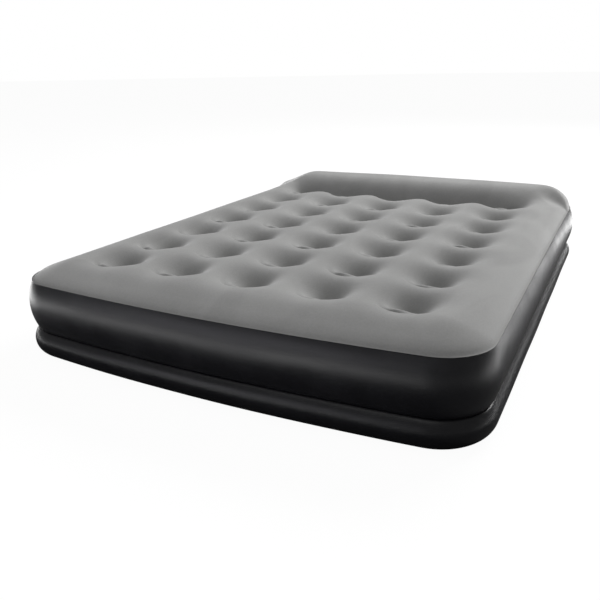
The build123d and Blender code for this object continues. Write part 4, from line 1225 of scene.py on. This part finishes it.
@dataclass
class Studio:
    """Pale floor, soft lamps and the camera."""

    floor_size: float = 60.0
    floor_colour: Colour = (0.80, 0.80, 0.80, 1.0)
    floor_bounce: Colour = (0.12, 0.12, 0.12, 1.0)
    floor_glow: float = 0.93
    foot_glow: float = 3.8
    side_glow: float = 4.2
    corner_glow: float = 0.5
    bed_half: tuple[float, float] = (0.76, 1.015)
    ring_start: tuple[float, float] = (0.45, 0.75)
    ring_end: tuple[float, float] = (1.2, 2.8)
    corner_span: tuple[float, float] = (0.0, 0.9)
    side_span: tuple[float, float] = (-1.1, 0.1)
    camera_place: tuple[float, float, float] = (0.9641, -2.2714, 0.8750)
    camera_tilt: float = 69.94
    camera_roll: float = 1.0
    camera_turn: float = 27.03
    lens: float = 38.44

    def floor(self) -> None:
        """Makes the floor."""
        bm = bmesh.new()
        bmesh.ops.create_grid(bm, x_segments=1, y_segments=1, size=self.floor_size)
        bmesh.ops.translate(bm, verts=bm.verts[:], vec=(0, 0, -0.0006))
        floor = finish_mesh("studio_floor", bm, smooth=False)
        material, g, shader, place = start_material("studio_floor")
        cloud = g.add("TexNoise", {"Vector": place, "Scale": 0.8, "Detail": 3.0})
        tone = g.ramp(cloud.outputs["Fac"], 0.3, 0.7, 0.0, 0.04)
        g.tree.links.new(g.blend(tone, self.floor_colour, (1.0, 1.0, 1.0, 1.0)), shader.inputs["Base Color"])
        shader.inputs["Roughness"].default_value = 0.9
        shader.inputs["Specular IOR Level"].default_value = 0.1
        lit = g.add("Emission", {"Color": (1.0, 1.0, 1.0, 1.0), "Strength": 1.03})
        soft = g.add("MixShader", {0: self.floor_glow, 1: shader.outputs[0], 2: lit.outputs[0]})
        dim = g.add("BsdfDiffuse", {"Color": self.floor_bounce})
        parts = g.add("SeparateXYZ", {0: place}).outputs
        out_x = g.maths("SUBTRACT", g.maths("ABSOLUTE", parts["X"]), self.bed_half[0])
        out_y = g.maths("SUBTRACT", g.maths("ABSOLUTE", parts["Y"]), self.bed_half[1])
        away = g.maths("MAXIMUM", out_x, out_y)
        inner = g.ramp(away, *self.ring_start, 0.0, 1.0)
        outer = g.ramp(away, *self.ring_end, 1.0, 0.0)
        foot = g.ramp(parts["X"], *self.corner_span, self.foot_glow, self.corner_glow)
        foot = g.ramp(parts["Y"], *self.side_span, foot, self.side_glow)
        power = g.maths("MULTIPLY", g.maths("MULTIPLY", inner, outer), foot)
        ring = g.add("Emission", {"Strength": power})
        low = g.add("AddShader", {0: dim.outputs[0], 1: ring.outputs[0]})
        rays = g.add("LightPath").outputs["Is Camera Ray"]
        seen = g.add("MixShader", {0: rays, 1: low.outputs[0], 2: soft.outputs[0]})
        out = next(n for n in material.node_tree.nodes if n.type == "OUTPUT_MATERIAL")
        g.tree.links.new(seen.outputs[0], out.inputs["Surface"])
        floor.data.materials.append(material)

    def lamp(self, name: str, place: Sequence[float], aim: Sequence[float], size: Sequence[float],
             power: float, colour: Sequence[float] = (1.0, 1.0, 1.0)) -> None:
        """Hangs one soft box.

        Args:
            name: the lamp's name.
            place: where it hangs.
            aim: the point that it faces.
            size: its width and height.
            power: its power in watts.
            colour: its colour.
        """
        light = bpy.data.lights.new(name, "AREA")
        light.shape = "RECTANGLE"
        light.size, light.size_y = size
        light.energy = power
        light.color = colour
        holder = bpy.data.objects.new(name, light)
        holder.location = place
        holder.rotation_euler = (Vector(aim) - Vector(place)).to_track_quat("-Z", "Y").to_euler()
        bpy.context.scene.collection.objects.link(holder)

    def sky(self) -> None:
        """Makes the pale surroundings."""
        world = bpy.data.worlds.new("studio_air")
        world.use_nodes = True
        g = Graph(world.node_tree)
        out = next(n for n in world.node_tree.nodes if n.type == "OUTPUT_WORLD")
        shade = next(n for n in world.node_tree.nodes if n.type == "BACKGROUND")
        shade.inputs["Color"].default_value = (1.0, 1.0, 1.0, 1.0)
        shade.inputs["Strength"].default_value = 0.22
        seen = g.add("Background", {"Color": (1.0, 1.0, 1.0, 1.0), "Strength": 1.0})
        rays = g.add("LightPath").outputs["Is Camera Ray"]
        mixed = g.add("MixShader", {0: rays, 1: shade.outputs[0], 2: seen.outputs[0]})
        world.node_tree.links.new(mixed.outputs[0], out.inputs["Surface"])
        bpy.context.scene.world = world

    def camera(self) -> None:
        """Places the camera."""
        data = bpy.data.cameras.new("camera")
        data.lens = self.lens
        data.sensor_width = 36.0
        data.clip_end = 60.0
        holder = bpy.data.objects.new("camera", data)
        holder.location = self.camera_place
        holder.rotation_euler = tuple(map(math.radians, (self.camera_tilt, self.camera_roll, self.camera_turn)))
        bpy.context.scene.collection.objects.link(holder)
        bpy.context.scene.camera = holder

    def build(self) -> None:
        """Sets the stage, the lamps and the camera."""
        self.camera()
        self.floor()
        self.sky()
        self.lamp("back_box", (1.6, 5.2, 4.6), (0.0, 0.0, 0.25), (4.4, 2.6), 620.0)
        self.lamp("top_box", (-0.3, -1.3, 3.5), (0.0, -0.2, 0.25), (3.6, 3.0), 30.0)
        self.lamp("foot_strip", (-1.8, -4.6, 1.0), (-0.1, -1.0, 0.1), (3.4, 0.8), 17.0, (0.93, 0.92, 1.0))
        bpy.context.scene.view_settings.view_transform = "Standard"


def main() -> None:
    """Builds the bed, the pump's finishes and the studio."""
    logging.basicConfig(level=logging.INFO, format="%(name)s: %(message)s")
    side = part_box("lower_side_band")[1]
    board_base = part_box("rectifier_board")[0].z
    shelf = MaterialShelf(SharedEffects(), board_base + 0.0017)
    plan = BedPlan(half_width=round(side.x, 3), half_length=round(side.y, 3))
    Bed(shelf, plan).build()
    Pump(shelf, frame["nodes"], frame["record"]).build()
    Studio().build()


if __name__ == "__main__":
    main()
